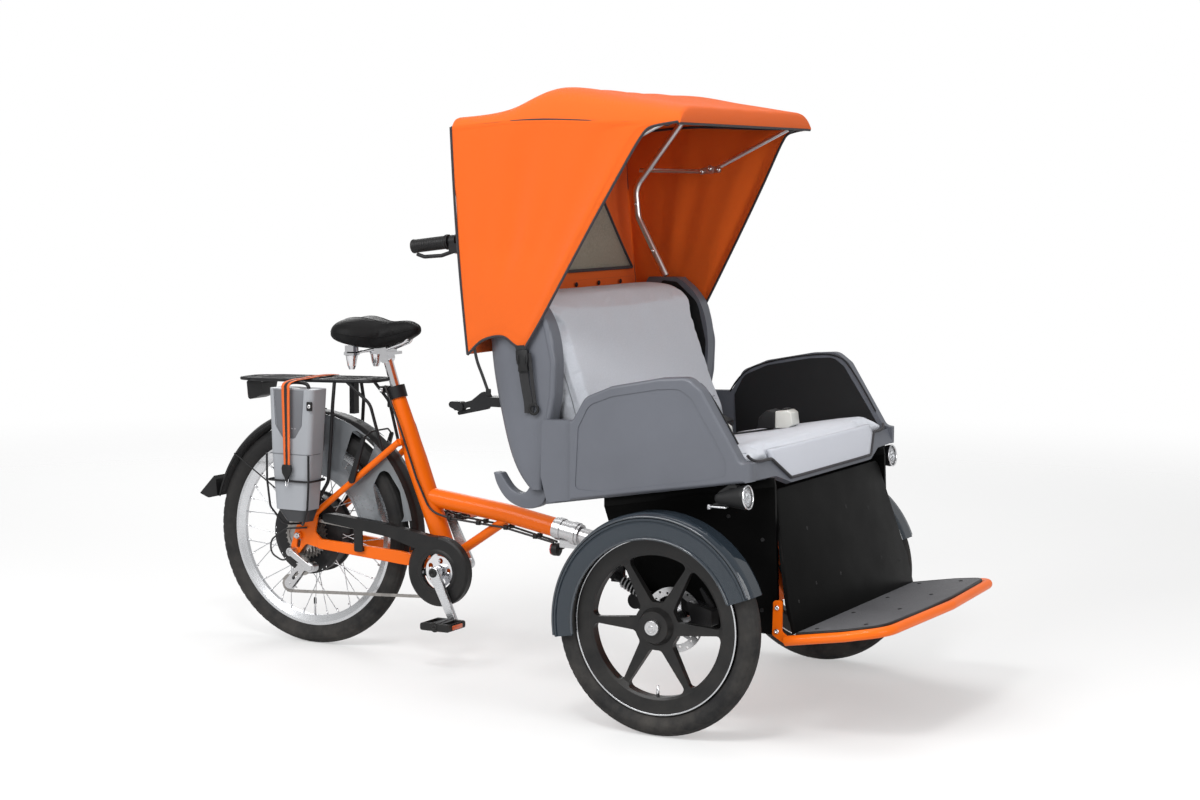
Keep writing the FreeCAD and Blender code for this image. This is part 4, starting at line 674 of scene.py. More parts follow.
def makeHood():
    s = hoodSet
    cols, shoulder, crown, drops = s["columns"], 9, 15, 5
    width = 2 * (shoulder + crown - 1) - 1
    winLow, winLowHalf, winHigh, winHighHalf = s["window"]
    (footX, footZ), (backX, backZ) = s["rearFoot"], s["rearTop"]
    levels = np.concatenate([np.linspace(footZ, winLow, 10), np.linspace(winLow, winHigh, 11)[1:],
                             np.linspace(winHigh, backZ, 9)[1:]])
    rows = len(levels)
    share = (levels - levels[0]) / (levels[-1] - levels[0])
    bottom = curveThrough(s["hem"], cols)
    front = curveThrough(s["frontEdge"], 200)
    us = np.linspace(0, 1, cols)
    topX = backX + us * (s["nose"] - backX)
    top = np.array([(x, stationAt(x)[2]) for x in topX])
    rear = np.stack([footX + (backX - footX) * share - 0.006 * np.sin(pi * share), levels], axis=1)
    ahead = np.stack([np.interp(share, np.linspace(0, 1, 200), front[:, k]) for k in (0, 1)], axis=1)
    verts, faces = [], []

    def put(index, a, b, *place):
        index[a, b] = len(verts)
        verts.append(at(*place))

    def sidePoint(i, j):
        # Coons patch between the hem, the seam and the two upright edges
        u, v = us[i], share[j]
        x, z = ((1 - v) * bottom[i] + v * top[i] + (1 - u) * rear[j] + u * ahead[j]
                - ((1 - u) * (1 - v) * bottom[0] + u * (1 - v) * bottom[-1]
                   + (1 - u) * v * top[0] + u * v * top[-1]))
        dip = sin(pi * u) * sin(pi * min(v * 1.05, 1))
        crease = (sin(17 * u + 1.2 * sin(3 * v)) * 0.6 + sin(31 * u + 2 * v) * 0.4)
        inward = s["belly"] * dip + s["fold"] * crease * sin(pi * v) ** 0.7 * min(1, 6 * u * (1 - u))
        inward *= limit((z - 1.05) / 0.10)               # straight where the shell's wings stand inside it
        inward -= 0.006 * exp(-((u - 0.93) / 0.035) ** 2) * sin(pi * v)      # the leading edge rolls outwards
        return x, sideHalf(x, z) - inward, z

    flanks = {}
    for sign in (-1, 1):
        flanks[sign] = side = {}
        for j in range(rows):
            for i in range(cols):
                x, y, z = sidePoint(i, j)
                put(side, j, i, x, sign * y, z)
        faces += gridFaces(side, rows, cols)

    def roofSection(x):
        # from the right seam over the top to the left seam
        high, crownHalf, seam, seamHalf = stationAt(x)
        corner, low, inside = Vector((crownHalf, high)), Vector((seamHalf, seam)), Vector((0, high))
        reach = min(0.045, (corner - low).length * 0.8)
        a = corner + (low - corner).normalized() * reach
        b = corner + (inside - corner).normalized() * 0.06
        points = []
        for k in range(shoulder):
            t = k / (shoulder - 1)
            if t < 0.4:
                points.append(low.lerp(a, t / 0.4))
            else:
                q = (t - 0.4) / 0.6
                points.append(a.lerp(corner, q).lerp(corner.lerp(b, q), q))
        points += [b.lerp(inside, k / (crown - 1)) for k in range(1, crown)]
        rearBay, hoop, nose = x - backX, s["hoop"], s["nose"]
        bay = rearBay / (hoop - backX) if x < hoop else (x - hoop) / (nose - hoop)
        out = []
        for y, z in points:
            across = cos(pi / 2 * min(1, y / crownHalf))
            drop = s["sag"] * across * sin(pi * limit(bay))
            lift = 0.010 * min(1, y / crownHalf) ** 5 * exp(-rearBay / 0.07)
            sagRear = 0.008 * across * exp(-rearBay / 0.06)
            ripple = 0.0012 * sin(38 * y + 9 * x) * across
            out.append((y, z + (lift - drop - sagRear + ripple) * limit((z - seam) / 0.01)))
        return [(-y, z) for y, z in out] + out[-2::-1]

    roof, valance, rearIndex = {}, {}, {}
    for i in range(cols):
        for k, (y, z) in enumerate(roofSection(topX[i])):
            put(roof, i, k, topX[i], y, z)
    faces += gridFaces(roof, cols, width)
    # front valance, slightly full
    for k, (y, z) in enumerate(roofSection(topX[-1])):
        for d in range(drops):
            t = d / (drops - 1)
            put(valance, d, k, s["nose"] + 0.005 * sin(pi * t), y, z + (min(s["valance"], z) - z) * t)
    faces += gridFaces(valance, drops, width)
    # rear panel with the window left open
    tops = roofSection(topX[0])
    for j in range(rows):
        x, edge, z = sidePoint(0, j)
        if z <= winLow:
            win = winLowHalf
        elif z <= winHigh:
            win = winLowHalf + (winHighHalf - winLowHalf) * (z - winLow) / (winHigh - winLow)
        else:
            win = winHighHalf + (-tops[shoulder - 1][0] - winHighHalf) * (z - winHigh) / (backZ - winHigh)
        for k in range(width):
            if k < shoulder:
                y = -edge + (edge - win) * k / (shoulder - 1)
            elif k >= width - shoulder:
                y = edge - (edge - win) * (width - 1 - k) / (shoulder - 1)
            else:
                y = -win + 2 * win * (k - shoulder + 1) / (width - 2 * shoulder + 1)
            blend = max(0, (z - winHigh) / (backZ - winHigh)) ** 2
            y = y + (tops[k][0] - y) * blend
            slack = 0.006 * cos(pi * y / (2 * edge)) * sin(pi * j / (rows - 1))
            put(rearIndex, j, k, x + slack, y, z + (tops[k][1] - z) * blend)
    faces += gridFaces(rearIndex, rows, width,
                       lambda j, k: 9 <= j < 19 and shoulder - 1 <= k < width - shoulder)
    cover = addPiece("hood_cover", meshFrom("hoodCover", verts, faces, merge=0.0004), "hood_fabric")
    cover.modifiers.new("thickness", "SOLIDIFY").thickness = s["cloth"]
    roundOff(cover)
    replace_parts(cover, "canopy")
    # edge binding, seam piping, and stitching beside both
    bindings, seams, threads = [], [], []
    last = cols - 1
    for sign, side in flanks.items():
        bindings.append([verts[side[0, i]] for i in range(0, cols, 3)] + [verts[side[0, last]]])
        bindings += [[verts[side[j, i]] for j in range(rows)] for i in (last, 0)]
        seams.append([verts[side[rows - 1, i]] - Vector((0, sign * 0.004, 0.001))
                      for i in [*range(0, cols, 3), last]])
        seamLine = [verts[side[rows - 1, i]] - Vector((0, 0, 0.008)) for i in range(0, last, 3)]
        edgeLine = [verts[side[j, cols - 3]] for j in range(1, rows - 2)]
        hemLine = [verts[side[1, i]] for i in range(1, cols - 3, 3)]
        for line, normal in ((seamLine, (0, sign, 0.1)), (edgeLine, (0.1, sign, 0)), (hemLine, (0, sign, 0))):
            threads.append(stitchRow(line, normal, 0.0012))
    bindings.append([verts[valance[drops - 1, k]] for k in range(0, width, 2)])
    strip("hood_binding", bindings, s["pipe"], "strap_webbing", material=piping)
    strip("hood_seam_tape", seams, 0.0035, "strap_webbing", material=piping)
    fitPiece("hood_stitching", threads, "hood_fabric", merge=0)


def makeHoodWindow():
    low, lowHalf, high, highHalf = hoodSet["window"]
    overlap, n, m = hoodSet["overlap"], 14, 28
    grid, index = [], {}
    for j in range(n + 1):
        t = j / n
        z = low - overlap + (high - low + 2 * overlap) * t
        half = lowHalf + (highHalf - lowHalf) * t + overlap
        for i in range(m + 1):
            y = -half + 2 * half * i / m
            slack = 0.006 * cos(pi * y / 0.9) + 0.003 * sin(26 * y + 6 * t) * sin(pi * t)
            index[j, i] = len(grid)
            grid.append(at(rearX(z) + 0.002 + slack, y, z))
    net = addPiece("hood_window", meshFrom("hoodWindow", grid, gridFaces(index, n + 1, m + 1)), "hood_fabric",
                   material=windowNet)
    net.modifiers.new("thickness", "SOLIDIFY").thickness = 0.001
    applyModifiers(net)
    net.data.shade_smooth()
    border = [[grid[index[j, k]] for j in range(n + 1)] for k in (0, m)]
    border += [[grid[index[j, i]] for i in range(0, m + 1, 2)] for j in (0, n)]
    strip("window_binding", border, 0.0045, "strap_webbing", material=piping)
    # press studs and stitching on the flap under the window
    stud = [(0.0, 0.0), (0.0065, 0.0), (0.0068, 0.0012), (0.0045, 0.0030), (0.0030, 0.0022), (0.0, 0.0022)]
    fitPiece("flap_studs", [spinProfile(stud, rearX(1.040) + 0.005, -0.405 + 0.127 * k, 1.040, 20, (1, 0, 0))
                            for k in range(7)], "black_metal")
    line = row([(0.793, y, 1.052) for y in (-0.44, -0.2, 0.0, 0.2, 0.44)])
    fitPiece("flap_stitching", [stitchRow(line, (1, 0, 0), 0.004)], "strap_webbing", merge=0)


makeHood()
makeHoodWindow()
print("hood window fitted")


# soft pads
def inflate(name, sections, slotName, node, settings, body="front_carriage", keepClear=None):
    # skin closed outlines, remesh, puff up under pressure, hold back what moved too far, smooth once
    n, count = len(sections[0]), len(sections)
    ends = [tuple(range(n)), tuple((count - 1) * n + i for i in reversed(range(n)))]
    verts = [p for section in sections for p in section]
    pad = addPiece(name, meshFrom(name, verts, tubeFaces(count, n) + ends), slotName, body)
    remesh = pad.modifiers.new("remesh", "REMESH")
    remesh.mode, remesh.voxel_size, remesh.use_smooth_shade = "VOXEL", settings["voxel"], True
    applyModifiers(pad)
    start = np.array([v.co for v in pad.data.vertices])
    cap = settings["cap"]
    softness = pad.modifiers.new("puff", "CLOTH").settings
    softness.use_pressure = True
    softness.uniform_pressure_force = settings["pressure"]
    softness.effector_weights.gravity = 0
    softness.quality = 4
    scene = bpy.context.scene
    for step in range(1, 21):
        scene.frame_set(step)
    graph = bpy.context.evaluated_depsgraph_get()
    puffed = bpy.data.meshes.new_from_object(pad.evaluated_get(graph))
    moved = np.array([v.co for v in puffed.vertices])
    pad.modifiers.clear()
    scene.frame_set(1)
    step = moved - start
    size = np.linalg.norm(step, axis=1, keepdims=True)
    moved = start + step * np.minimum(1, cap / np.maximum(size, 1e-9))
    if keepClear:
        x, y, z = moved[:, 0] - axleX, moved[:, 1], moved[:, 2]
        keepClear(x, y, z)
        moved[:, 0] = x + axleX
    pad.data.vertices.foreach_set("co", moved.astype(np.float32).ravel())
    pad.data.update()
    roundOff(pad)
    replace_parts(pad, node)
    print(name, "puffed:", len(pad.data.polygons), "faces")
    return pad


def surfaceUnder(pad, points, direction, lift=0.0):
    # where rays from the points meet the pad, lifted off it a little
    shown = pad.evaluated_get(bpy.context.evaluated_depsgraph_get())
    hits = []
    for point in points:
        hit, place, normal, _ = shown.ray_cast(Vector(point), Vector(direction))
        if hit:
            hits.append(place + normal * lift)
    return hits


seatSet = {"half": 0.428, "panLow": (1.168, 0.570), "tilt": tan(radians(9.4)), "face": (1.5745, 0.635),
           "lean": tan(radians(22.0)), "middle": 0.258, "step": 0.330, "borderHigh": 0.6635,
           "borderLow": 0.611, "cap": 0.012, "pressure": 4.0, "fill": 0.75, "voxel": 0.006}


def panTop(x):
    return seatSet["panLow"][1] + (x - seatSet["panLow"][0]) * seatSet["tilt"]


def borderHeight(y):
    # lower edge of the seat pad on the bench's front face
    s = seatSet
    t = limit((abs(y) - s["middle"]) / (s["step"] - s["middle"]))
    return s["borderLow"] + (s["borderHigh"] - s["borderLow"]) * t


def frontFace(z):
    return seatSet["face"][0] - (z - seatSet["face"][1]) * seatSet["lean"]


def makeSeatPad():
    s = seatSet
    sections = []
    for y in np.linspace(-s["half"], s["half"], 61):
        edge = 1 - abs(y) / s["half"]
        pull = 0.010 * exp(-edge * 22)          # the sides pull in towards the ends
        border = borderHeight(y)
        front = frontFace(border)
        outline = [(1.146, 0.622 - pull), (1.20, 0.6325 - pull), (1.33, 0.655 - pull), (1.45, 0.676 - pull),
                   (1.515, 0.686 - pull), (1.546, 0.684 - pull), (1.560, 0.672)]
        if border < s["borderHigh"] - 0.002:
            outline += [(frontFace(0.652) - 0.003, 0.652), (frontFace(0.632) - 0.001, 0.632),
                        (front - 0.002, border + 0.001), (front - 0.014, border + 0.003),
                        (1.568, max(border + 0.006, 0.638)), (1.556, panTop(1.556) + 0.003)]
        else:
            outline += [(front - 0.004, border + 0.002), (front - 0.006, border + 0.001),
                        (1.553, border + 0.001), (1.551, border - 0.004), (1.550, 0.650),
                        (1.548, panTop(1.548) + 0.003)]
        outline += [(x, panTop(x) + 0.003) for x in (1.45, 1.30, 1.14)]
        sections.append([at(x, y, z) for x, z in outline])

    def keepClear(x, y, z):
        y[:] = np.clip(y, -0.436, 0.436)
        onPan = x < 1.5675
        z[onPan] = np.maximum(z[onPan], panTop(x[onPan]) + 0.001)
        x[:] = np.minimum(x, frontFace(z) + 0.004)
        # behind the raised front return the pad keeps off it
        behind = (np.abs(y) > 0.325) & (z < 0.6625)
        x[behind] = np.minimum(x[behind], 1.552)

    return inflate("seat_pad", sections, "cushion_fabric", "seat_cushion", s, keepClear=keepClear)


backSet = {"half": 0.386, "cap": 0.014, "pressure": 4.0, "fill": 0.7, "voxel": 0.006, "centre": (1.02, 0.83),
           "outline": ((1.016, 0.700), (0.9925, 0.745), (0.951, 0.870), (0.909, 0.990), (0.902, 1.0145),
                       (0.856, 1.0155), (0.852, 1.026), (0.885, 1.033), (0.935, 1.031), (0.970, 1.024),
                       (0.986, 1.010), (1.020, 0.915), (1.064, 0.795), (1.112, 0.668), (1.096, 0.650),
                       (1.060, 0.644), (1.036, 0.645))}


def makeBackPad():
    s = backSet
    sections = []
    centre = Vector(s["centre"])
    for y in np.linspace(-s["half"], s["half"], 51):
        shrink = 1 - 0.05 * exp(-(1 - abs(y) / s["half"]) * 18)
        places = [centre + (Vector(point) - centre) * shrink for point in s["outline"]]
        sections.append([at(p.x, y, p.y) for p in places])

    def keepClear(x, y, z):
        y[:] = np.clip(y, -0.402, 0.402)
        rear = np.interp(z, [0.560, 0.700, 1.000], [1.011, 1.011, 0.896])      # the shell behind the pad
        over = z >= 1.0135                       # the roll that laps over the shell's top edge
        x[:] = np.where(over, np.maximum(x, 0.838), np.maximum(x, np.where(x < 0.888, 0.897, rear)))
        z[:] = np.minimum(z, 1.044)
        crease = np.exp(-((1.0 - z) / 0.10) ** 2) * np.exp(-(y / 0.22) ** 2)
        x[:] += 0.0022 * np.sin(46 * y + 22 * z) * crease

    return inflate("back_pad", sections, "cushion_fabric", "back_cushion", s, keepClear=keepClear)


seatPad, backPad = makeSeatPad(), makeBackPad()


def padSeams():
    # panel seams of both pads, the piping under the seat pad's edge and stitching on the back pad
    ends, border = [], []
    for sign in (-1, 1):
        probe = [at(x, sign * 0.60, panTop(x) + 0.032 + 0.018 * (x - 1.146) / 0.4)
                 for x in np.linspace(1.17, 1.535, 16)]
        ends.append(surfaceUnder(seatPad, probe, (0, -sign, 0), 0.0004))
        probe = [at(1.030 + (0.83 - z) * 0.36, sign * 0.60, z) for z in np.linspace(0.69, 0.985, 18)]
        border.append(surfaceUnder(backPad, probe, (0, -sign, 0), 0.0004))
    strip("seat_pad_seams", ends, 0.0013, "cushion_fabric", material=cushionSeam)
    half = (0.402, 0.345, 0.330, 0.318, 0.270, 0.258, 0.245, 0.12)
    edge = [(frontFace(borderHeight(y) - 0.001) + 0.0040, y, borderHeight(y) - 0.001)
            for y in [-y for y in half] + [0] + list(reversed(half))]
    turn = [(1.552, 0.434, 0.679), (1.557, 0.425, 0.668)]
    strip("seat_piping", [row(turn, -1) + row(edge) + row(turn)], 0.0036, "strap_webbing", material=piping)
    low = surfaceUnder(backPad, [at(1.40, y, 0.735) for y in np.linspace(-0.37, 0.37, 26)], (-1, 0, 0),
                       0.0002)
    strip("back_pad_seams", border + [low], 0.0013, "cushion_fabric", material=cushionSeam)
    line = surfaceUnder(backPad, [at(1.40, y, 0.728) for y in np.linspace(-0.365, 0.365, 30)], (-1, 0, 0))
    fitPiece("pad_stitching", [stitchRow(line, (1, 0, 0.3), 0.0005)], "cushion_fabric",
             material=cushionSeam, merge=0)


padSeams()
print("seat and back pads sewn")

saddleSet = {
    # x, half width, height of the crown, height of the skirt
    "stations": ((0.106, 0.052, 0.906, 0.893), (0.124, 0.092, 0.928, 0.881), (0.150, 0.108, 0.937, 0.871),
                 (0.184, 0.106, 0.938, 0.862), (0.220, 0.084, 0.932, 0.857), (0.256, 0.058, 0.925, 0.860),
                 (0.292, 0.038, 0.929, 0.871), (0.326, 0.028, 0.935, 0.883), (0.350, 0.020, 0.929, 0.894),
                 (0.360, 0.010, 0.921, 0.900)),
    "cap": 0.004, "pressure": 3.0, "fill": 0.85, "voxel": 0.004, "around": 28}


def makeSaddle():
    rows = curveThrough(saddleSet["stations"], 44)
    sections = []
    for x, half, high, low in rows:
        section = []
        for k in range(saddleSet["around"]):
            a = 2 * pi * k / saddleSet["around"]
            y = half * copysign(abs(cos(a)) ** 0.75, cos(a))
            up = sin(a)
            if up >= 0:
                dip = 0.0055 * exp(-(y / 0.012) ** 2) * limit((x - 0.13) / 0.04)
                z = low + 0.010 + (high - low - 0.010) * up ** 0.7 - dip
            else:
                z = low + 0.010 + 0.010 * up
            section.append(at(x, y, z))
        sections.append(section)
    cover = inflate("saddle_cover", sections, "saddle_skin", "saddle", saddleSet, "rear_frame")
    seams = []
    for sign in (-1, 1):
        probe = [at(x, sign * 0.3, low + (high - low) * 0.42) for x, half, high, low in rows[2:-3:2]]
        seams.append(surfaceUnder(cover, probe, (0, -sign, 0), 0.0003))
        probe = [at(x, sign * half * 0.34, 1.2) for x, half, high, low in rows[5:-4:2]]
        seams.append(surfaceUnder(cover, probe, (0, 0, -1), 0.0001))
    strip("saddle_seams", seams, 0.0012, "saddle_skin", "rear_frame")


makeSaddle()
print("saddle covered")


# straps and belts
def flatBand(points, count, thickness, asideOf):
    # flat webbing along points; asideOf gives half its width as a vector, from the way it runs
    pts = [Vector(p) for p in curveThrough(points, count)]
    verts = []
    for i, p in enumerate(pts):
        along = (pts[min(i + 1, count - 1)] - pts[max(i - 1, 0)]).normalized()
        aside = asideOf(along)
        out = aside.cross(along).normalized() * thickness / 2
        verts += [p - aside - out, p + aside - out, p + aside + out, p - aside + out]
    end = 4 * (count - 1)
    return verts, tubeFaces(count, 4) + [(3, 2, 1, 0), (end, end + 1, end + 2, end + 3)]


def ribbon(points, width, thickness, face):
    # webbing with its face towards one direction
    return flatBand(points, max(8, 6 * len(points)), thickness,
                    lambda along: along.cross(Vector(face)).normalized() * width / 2)


def makeHoodStraps():
    bands, buckles, locks = [], [], []
    runs = ((0.025, ((0.955, 0.4725, 0.918), (0.958, 0.4655, 0.890), (0.962, 0.4645, 0.850),
                     (0.968, 0.4632, 0.812), (0.974, 0.4618, 0.778), (0.976, 0.4618, 0.752))),
            (0.009, ((0.979, 0.4665, 0.900), (0.983, 0.4655, 0.860), (0.988, 0.4640, 0.815),
                     (0.994, 0.4625, 0.772))),
            (0.008, ((0.823, 0.4680, 0.905), (0.830, 0.4650, 0.872), (0.842, 0.4620, 0.840),
                     (0.856, 0.4590, 0.802))))
    body = [(0.943, 0.905), (0.975, 0.908), (0.978, 0.885), (0.974, 0.868), (0.978, 0.856), (0.950, 0.853),
            (0.950, 0.866), (0.944, 0.882)]
    eye = [(0.0085, -0.0035), (0.0150, -0.0035), (0.0150, 0.0015), (0.0085, 0.0015)]
    for s in (-1, 1):
        bands += [ribbon(row(points, s), width, 0.0016, (0, s, 0)) for width, points in runs]
        buckles.append(prism(body, 1, *span(s, 0.461, 0.4715)))
        for dx in (0.0, 0.020):
            arm = [(0.946 + dx, 0.893), (0.952 + dx, 0.895), (0.953 + dx, 0.874), (0.947 + dx, 0.872)]
            buckles.append(prism(arm, 1, *span(s, 0.4715, 0.4735)))
        locks.append(spinProfile(eye, 0.990, s * 0.4635, 0.762, 28, (0, s, 0)))
        locks.append(roundedBox((0.851, 0.864), span(s, 0.4555, 0.4610), (0.790, 0.806)))
    webbing = fitPiece("hood_straps", bands, "strap_webbing", material=webbingWeave, merge=0)
    webbing.data.shade_flat()
    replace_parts(webbing, "canopy_straps")
    bevelled("hood_strap_buckles", buckles + locks, "black_plastic", 0.0009)


def makeLapBelts():
    belts, plates, shells = [], [], []
    # latch plate, the housing that it clicks into, its button and a spare tongue, from the end of the webbing
    plate = ((0.014, 0.003), (0.052, 0.006), (0.064, 0.014), (0.060, 0.046), (0.048, 0.053), (0.014, 0.048))
    housing = ((-0.034, 0.001), (0.015, 0.003), (0.015, 0.046), (-0.008, 0.050), (-0.030, 0.030))
    button = ((0.030, 0.051), (0.046, 0.053), (0.044, 0.057), (0.030, 0.056))
    tongue = ((-0.150, -0.010), (-0.112, -0.004), (-0.108, 0.018), (-0.140, 0.030), (-0.156, 0.008))
    for y in (-0.205, 0.205):
        above = [at(x, y + 0.01 * sin(9 * x), 0.80) for x in np.linspace(1.128, 1.335, 10)]
        run = surfaceUnder(seatPad, above, (0, 0, -1), 0.0022)
        belts.append(ribbon([run[0] + Vector((-0.020, 0, 0.012))] + run, 0.046, 0.0018, (0, 0, 1)))
        end = (run[-1].x - axleX, run[-1].z)
        for parts, shape, low, high in ((plates, plate, -0.025, 0.025), (shells, housing, -0.030, 0.030),
                                        (shells, button, -0.013, 0.013), (shells, tongue, -0.052, -0.012)):
            parts.append(prism([(end[0] + dx, end[1] + dz) for dx, dz in shape], 1, y + low, y + high))
    belt = fitPiece("lap_belts", belts, "strap_webbing", material=webbingFlat, merge=0)
    belt.data.shade_flat()
    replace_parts(belt, "seat_belts")
    bevelled("belt_latch_plates", plates, "rim_alloy", 0.003, 3, material=latchPlate)
    bevelled("belt_housings", shells, "black_plastic", 0.003, 3)


def makeCarrierStrap():
    # orange, black and orange bands side by side over the platform and down past the battery
    def band(low, high):
        mid = (low + high) / 2
        foot = 0.030 + (mid - 0.0275) * 0.62
        path = [(mid, 0.070, 0.7655), (mid, 0.030, 0.7675), (mid, -0.030, 0.7675), (mid, -0.074, 0.7655),
                (mid, -0.130, 0.7640), (mid, -0.1655, 0.7560), (mid, -0.1695, 0.7300),
                ((mid + foot) / 2, -0.1695, 0.6200), (foot, -0.1700, 0.512)]
        return flatBand(row(path), 70, 0.0016, lambda along: Vector((0.0042, 0, 0)))

    strap = fitPiece("carrier_strap_orange", [band(0.014, 0.0225), band(0.0325, 0.041)], "strap_webbing",
                     "rear_frame", strapOrange, merge=0)
    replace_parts(strap, "carrier_strap")
    fitPiece("carrier_strap_black", [band(0.0235, 0.0315)], "strap_webbing", "rear_frame", webbingWeave,
             merge=0)
    hook = [(0.017, 0.532), (0.044, 0.532), (0.047, 0.522), (0.044, 0.508), (0.036, 0.496), (0.033, 0.486),
            (0.027, 0.486), (0.024, 0.496), (0.016, 0.508), (0.014, 0.522)]
    bevelled("carrier_strap_hook", [prism(hook, 1, -0.1745, -0.1675)], "black_plastic", 0.0012,
             body="rear_frame")
    loop = [at(0.030 + 0.0045 * cos(a), -0.1705 + 0.0030 * sin(a), 0.485 + 0.013 * sin(a))
            for a in np.linspace(0, 2 * pi, 17)]
    strip("carrier_strap_ring", [loop], 0.0015, "chrome", "rear_frame")


makeHoodStraps()
makeLapBelts()
makeCarrierStrap()
print("straps and belts made")


# tyres
tyreSet = {"steps": 360, "grooveDepth": 0.0016, "blockPitch": 5}
wheelSet = {"rearR": 0.319, "rearInner": 0.265, "frontX": 1.352, "frontY": 0.496, "frontR": 0.266,
            "frontInner": 0.214, "stripeR": 0.285, "silverR": 0.2118, "lineWidth": 0.0035, "spokes": 36,
            "nippleR": 0.2375, "flangeR": 0.111, "screwR": 0.088}


def halfWidth(node):
    low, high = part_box(node)
    return (high.y - low.y) / 2


def makeTyre(name, node, body, x, y, outer, inner, half):
    # round carcass with a ribbed and sipped tread, sidewall rings and a bead at the rim
    s = tyreSet
    depth, blocks = s["grooveDepth"], s["blockPitch"]
    mid = outer - half
    wall = [(inner, 0.42, 1.9), (inner + 0.10 * (mid - inner), 0.56, 1.9),
            (inner + 0.38 * (mid - inner), 0.80, 1.8), (inner + 0.72 * (mid - inner), 0.955, 1.7)]
    section = [(r, -half * share, -a) for r, share, a in wall]
    for k in range(33):
        a = radians(-100 + 200 * k / 32)          # from one shoulder over the tread to the other
        section.append((mid + half * cos(a), half * sin(a), a))
    section += [(r, half * share, a) for r, share, a in reversed(wall)]
    base = at(x, y, outer)
    verts = []
    for i in range(s["steps"]):
        t = 2 * pi * i / s["steps"]
        for k, (r, w, a) in enumerate(section):
            off = abs(k - 20)
            groove = 0.0
            if off in (4, 8):
                groove = depth
            elif off in (5, 6, 7) and (i + (2 if k > 20 else 0)) % blocks == 0:
                groove = depth * 0.8
            elif off in (9, 10) and i % blocks == 2:
                groove = depth * 0.6
            elif off < 3 and (i + k) % 9 == 0:
                groove = depth * 0.5
            elif off == 14:
                groove = -0.0007
            rr = r - groove * cos(a)
            verts.append(base + Vector((rr * cos(t), w - groove * sin(a), rr * sin(t))))
    faces = tubeFaces(s["steps"], len(section), True)
    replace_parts(addPiece(name, meshFrom(name, verts, faces), "tyre_rubber", body), node)


def ringBand(name, slotName, body, x, y, z, radius, thickness, offset, material=None):
    # flat rings standing on both faces of a wheel
    parts = []
    near, far = radius - wheelSet["lineWidth"] / 2, radius + wheelSet["lineWidth"] / 2
    for s in (-1, 1):
        low, high = s * offset, s * (offset + thickness)
        parts.append(spinProfile([(near, low), (far, low), (far, high), (near, high)], x, y, z, 128))
    bevelled(name, parts, slotName, thickness * 0.3, 1, body, material)


rearHalf, frontHalf = halfWidth("rear_tyre"), halfWidth("front_tyre_left")
makeTyre("rear_tyre_tread", "rear_tyre", "rear_wheel", 0, 0, wheelSet["rearR"], wheelSet["rearInner"],
         rearHalf)
for side, label in sides:
    makeTyre("front_tyre_tread_" + label, "front_tyre_" + label, "front_wheel_" + label, wheelSet["frontX"],
             side * wheelSet["frontY"], wheelSet["frontR"], wheelSet["frontInner"], frontHalf)
print("tyres made, half widths", round(rearHalf, 4), round(frontHalf, 4))


# wheels
def makeFrontTrim(side, label):
    s = wheelSet
    x, y, z, body = s["frontX"], side * s["frontY"], s["frontR"], "front_wheel_" + label
    ringBand("wheel_line_" + label, "rim_alloy", body, x, y, z, s["silverR"], 0.0008, 0.0197)
    # cup over the axle nut, with a shallow dish and a centre bolt: radius, distance outwards
    cap = ((0.0168, 0), (0.0185, 0), (0.0185, 0.0085), (0.0172, 0.0106), (0.0120, 0.0112), (0.0105, 0.0104),
           (0.0062, 0.0104), (0.0055, 0.0124), (0.0, 0.0124), (0.0, 0.0101), (0.0168, 0.0101))
    cup = spinProfile([(r, side * 0.028 + side * out) for r, out in cap], x, y, z, 48)
    bevelled("hub_cap_" + label, [cup], "bare_steel", 0.0004, body=body)
    stem = [(0.0, 0.0), (0.0040, 0.0), (0.0040, 0.022), (0.0028, 0.024), (0.0028, 0.031), (0.0, 0.031)]
    fitPiece("tyre_valve_" + label, [spinProfile(stem, x, y, z - 0.176, 16, (0, 0, 1))], "chrome", body)


def makeRearTrim():
    s = wheelSet
    nipple = [(0.0, -0.010), (0.0017, -0.010), (0.0023, -0.001), (0.0030, 0.003), (0.0, 0.003)]
    head = [(0.0, 0.0), (0.0024, 0.0), (0.0024, 0.0008), (0.0012, 0.0018), (0.0, 0.0018)]
    nipples, heads = [], []
    for i in range(s["spokes"]):
        a, side = radians(360 / s["spokes"] * i), -1 if i % 2 else 1
        nipples.append(spinProfile(nipple, s["nippleR"] * cos(a), side * 0.002,
                                   s["rearR"] + s["nippleR"] * sin(a), 10, (cos(a), 0, sin(a))))
        a = radians(360 / s["spokes"] * i + (14 if i % 4 < 2 else -14))
        heads.append(spinProfile(head, s["flangeR"] * cos(a), side * 0.0312,
                                 s["rearR"] + s["flangeR"] * sin(a), 10, (0, side, 0)))
    fitPiece("spoke_nipples", nipples, "chrome", "rear_wheel")
    cap = [(0.0, -0.002), (0.0042, -0.002), (0.0042, 0.012), (0.0032, 0.016), (0.0, 0.017)]
    fitPiece("valve_cap", [spinProfile(cap, 0, 0, s["rearR"] - 0.206, 20, (0, 0, 1))], "black_plastic",
             "rear_wheel")
    fitPiece("spoke_heads", heads, "chrome", "rear_wheel")
    # ring of screws on the motor's cover
    angles = [radians(40 * i + 12) for i in range(9)]
    screws = [(s["screwR"] * cos(a), 0.0352, s["rearR"] + s["screwR"] * sin(a)) for a in angles]
    fitPiece("motor_screws", [domes(screws, 0.0036, 0.0022, (0, 1, 0))], "bare_steel", "rear_wheel")


# reflective line moulded into the rear tyre's walls
ringBand("rear_tyre_stripe", "tyre_rubber", "rear_wheel", 0, 0, wheelSet["rearR"], wheelSet["stripeR"],
         0.0006, rearHalf * 0.80 + 0.0015, stripeWhite)
for side, label in sides:
    makeFrontTrim(side, label)
makeRearTrim()
print("wheels trimmed")


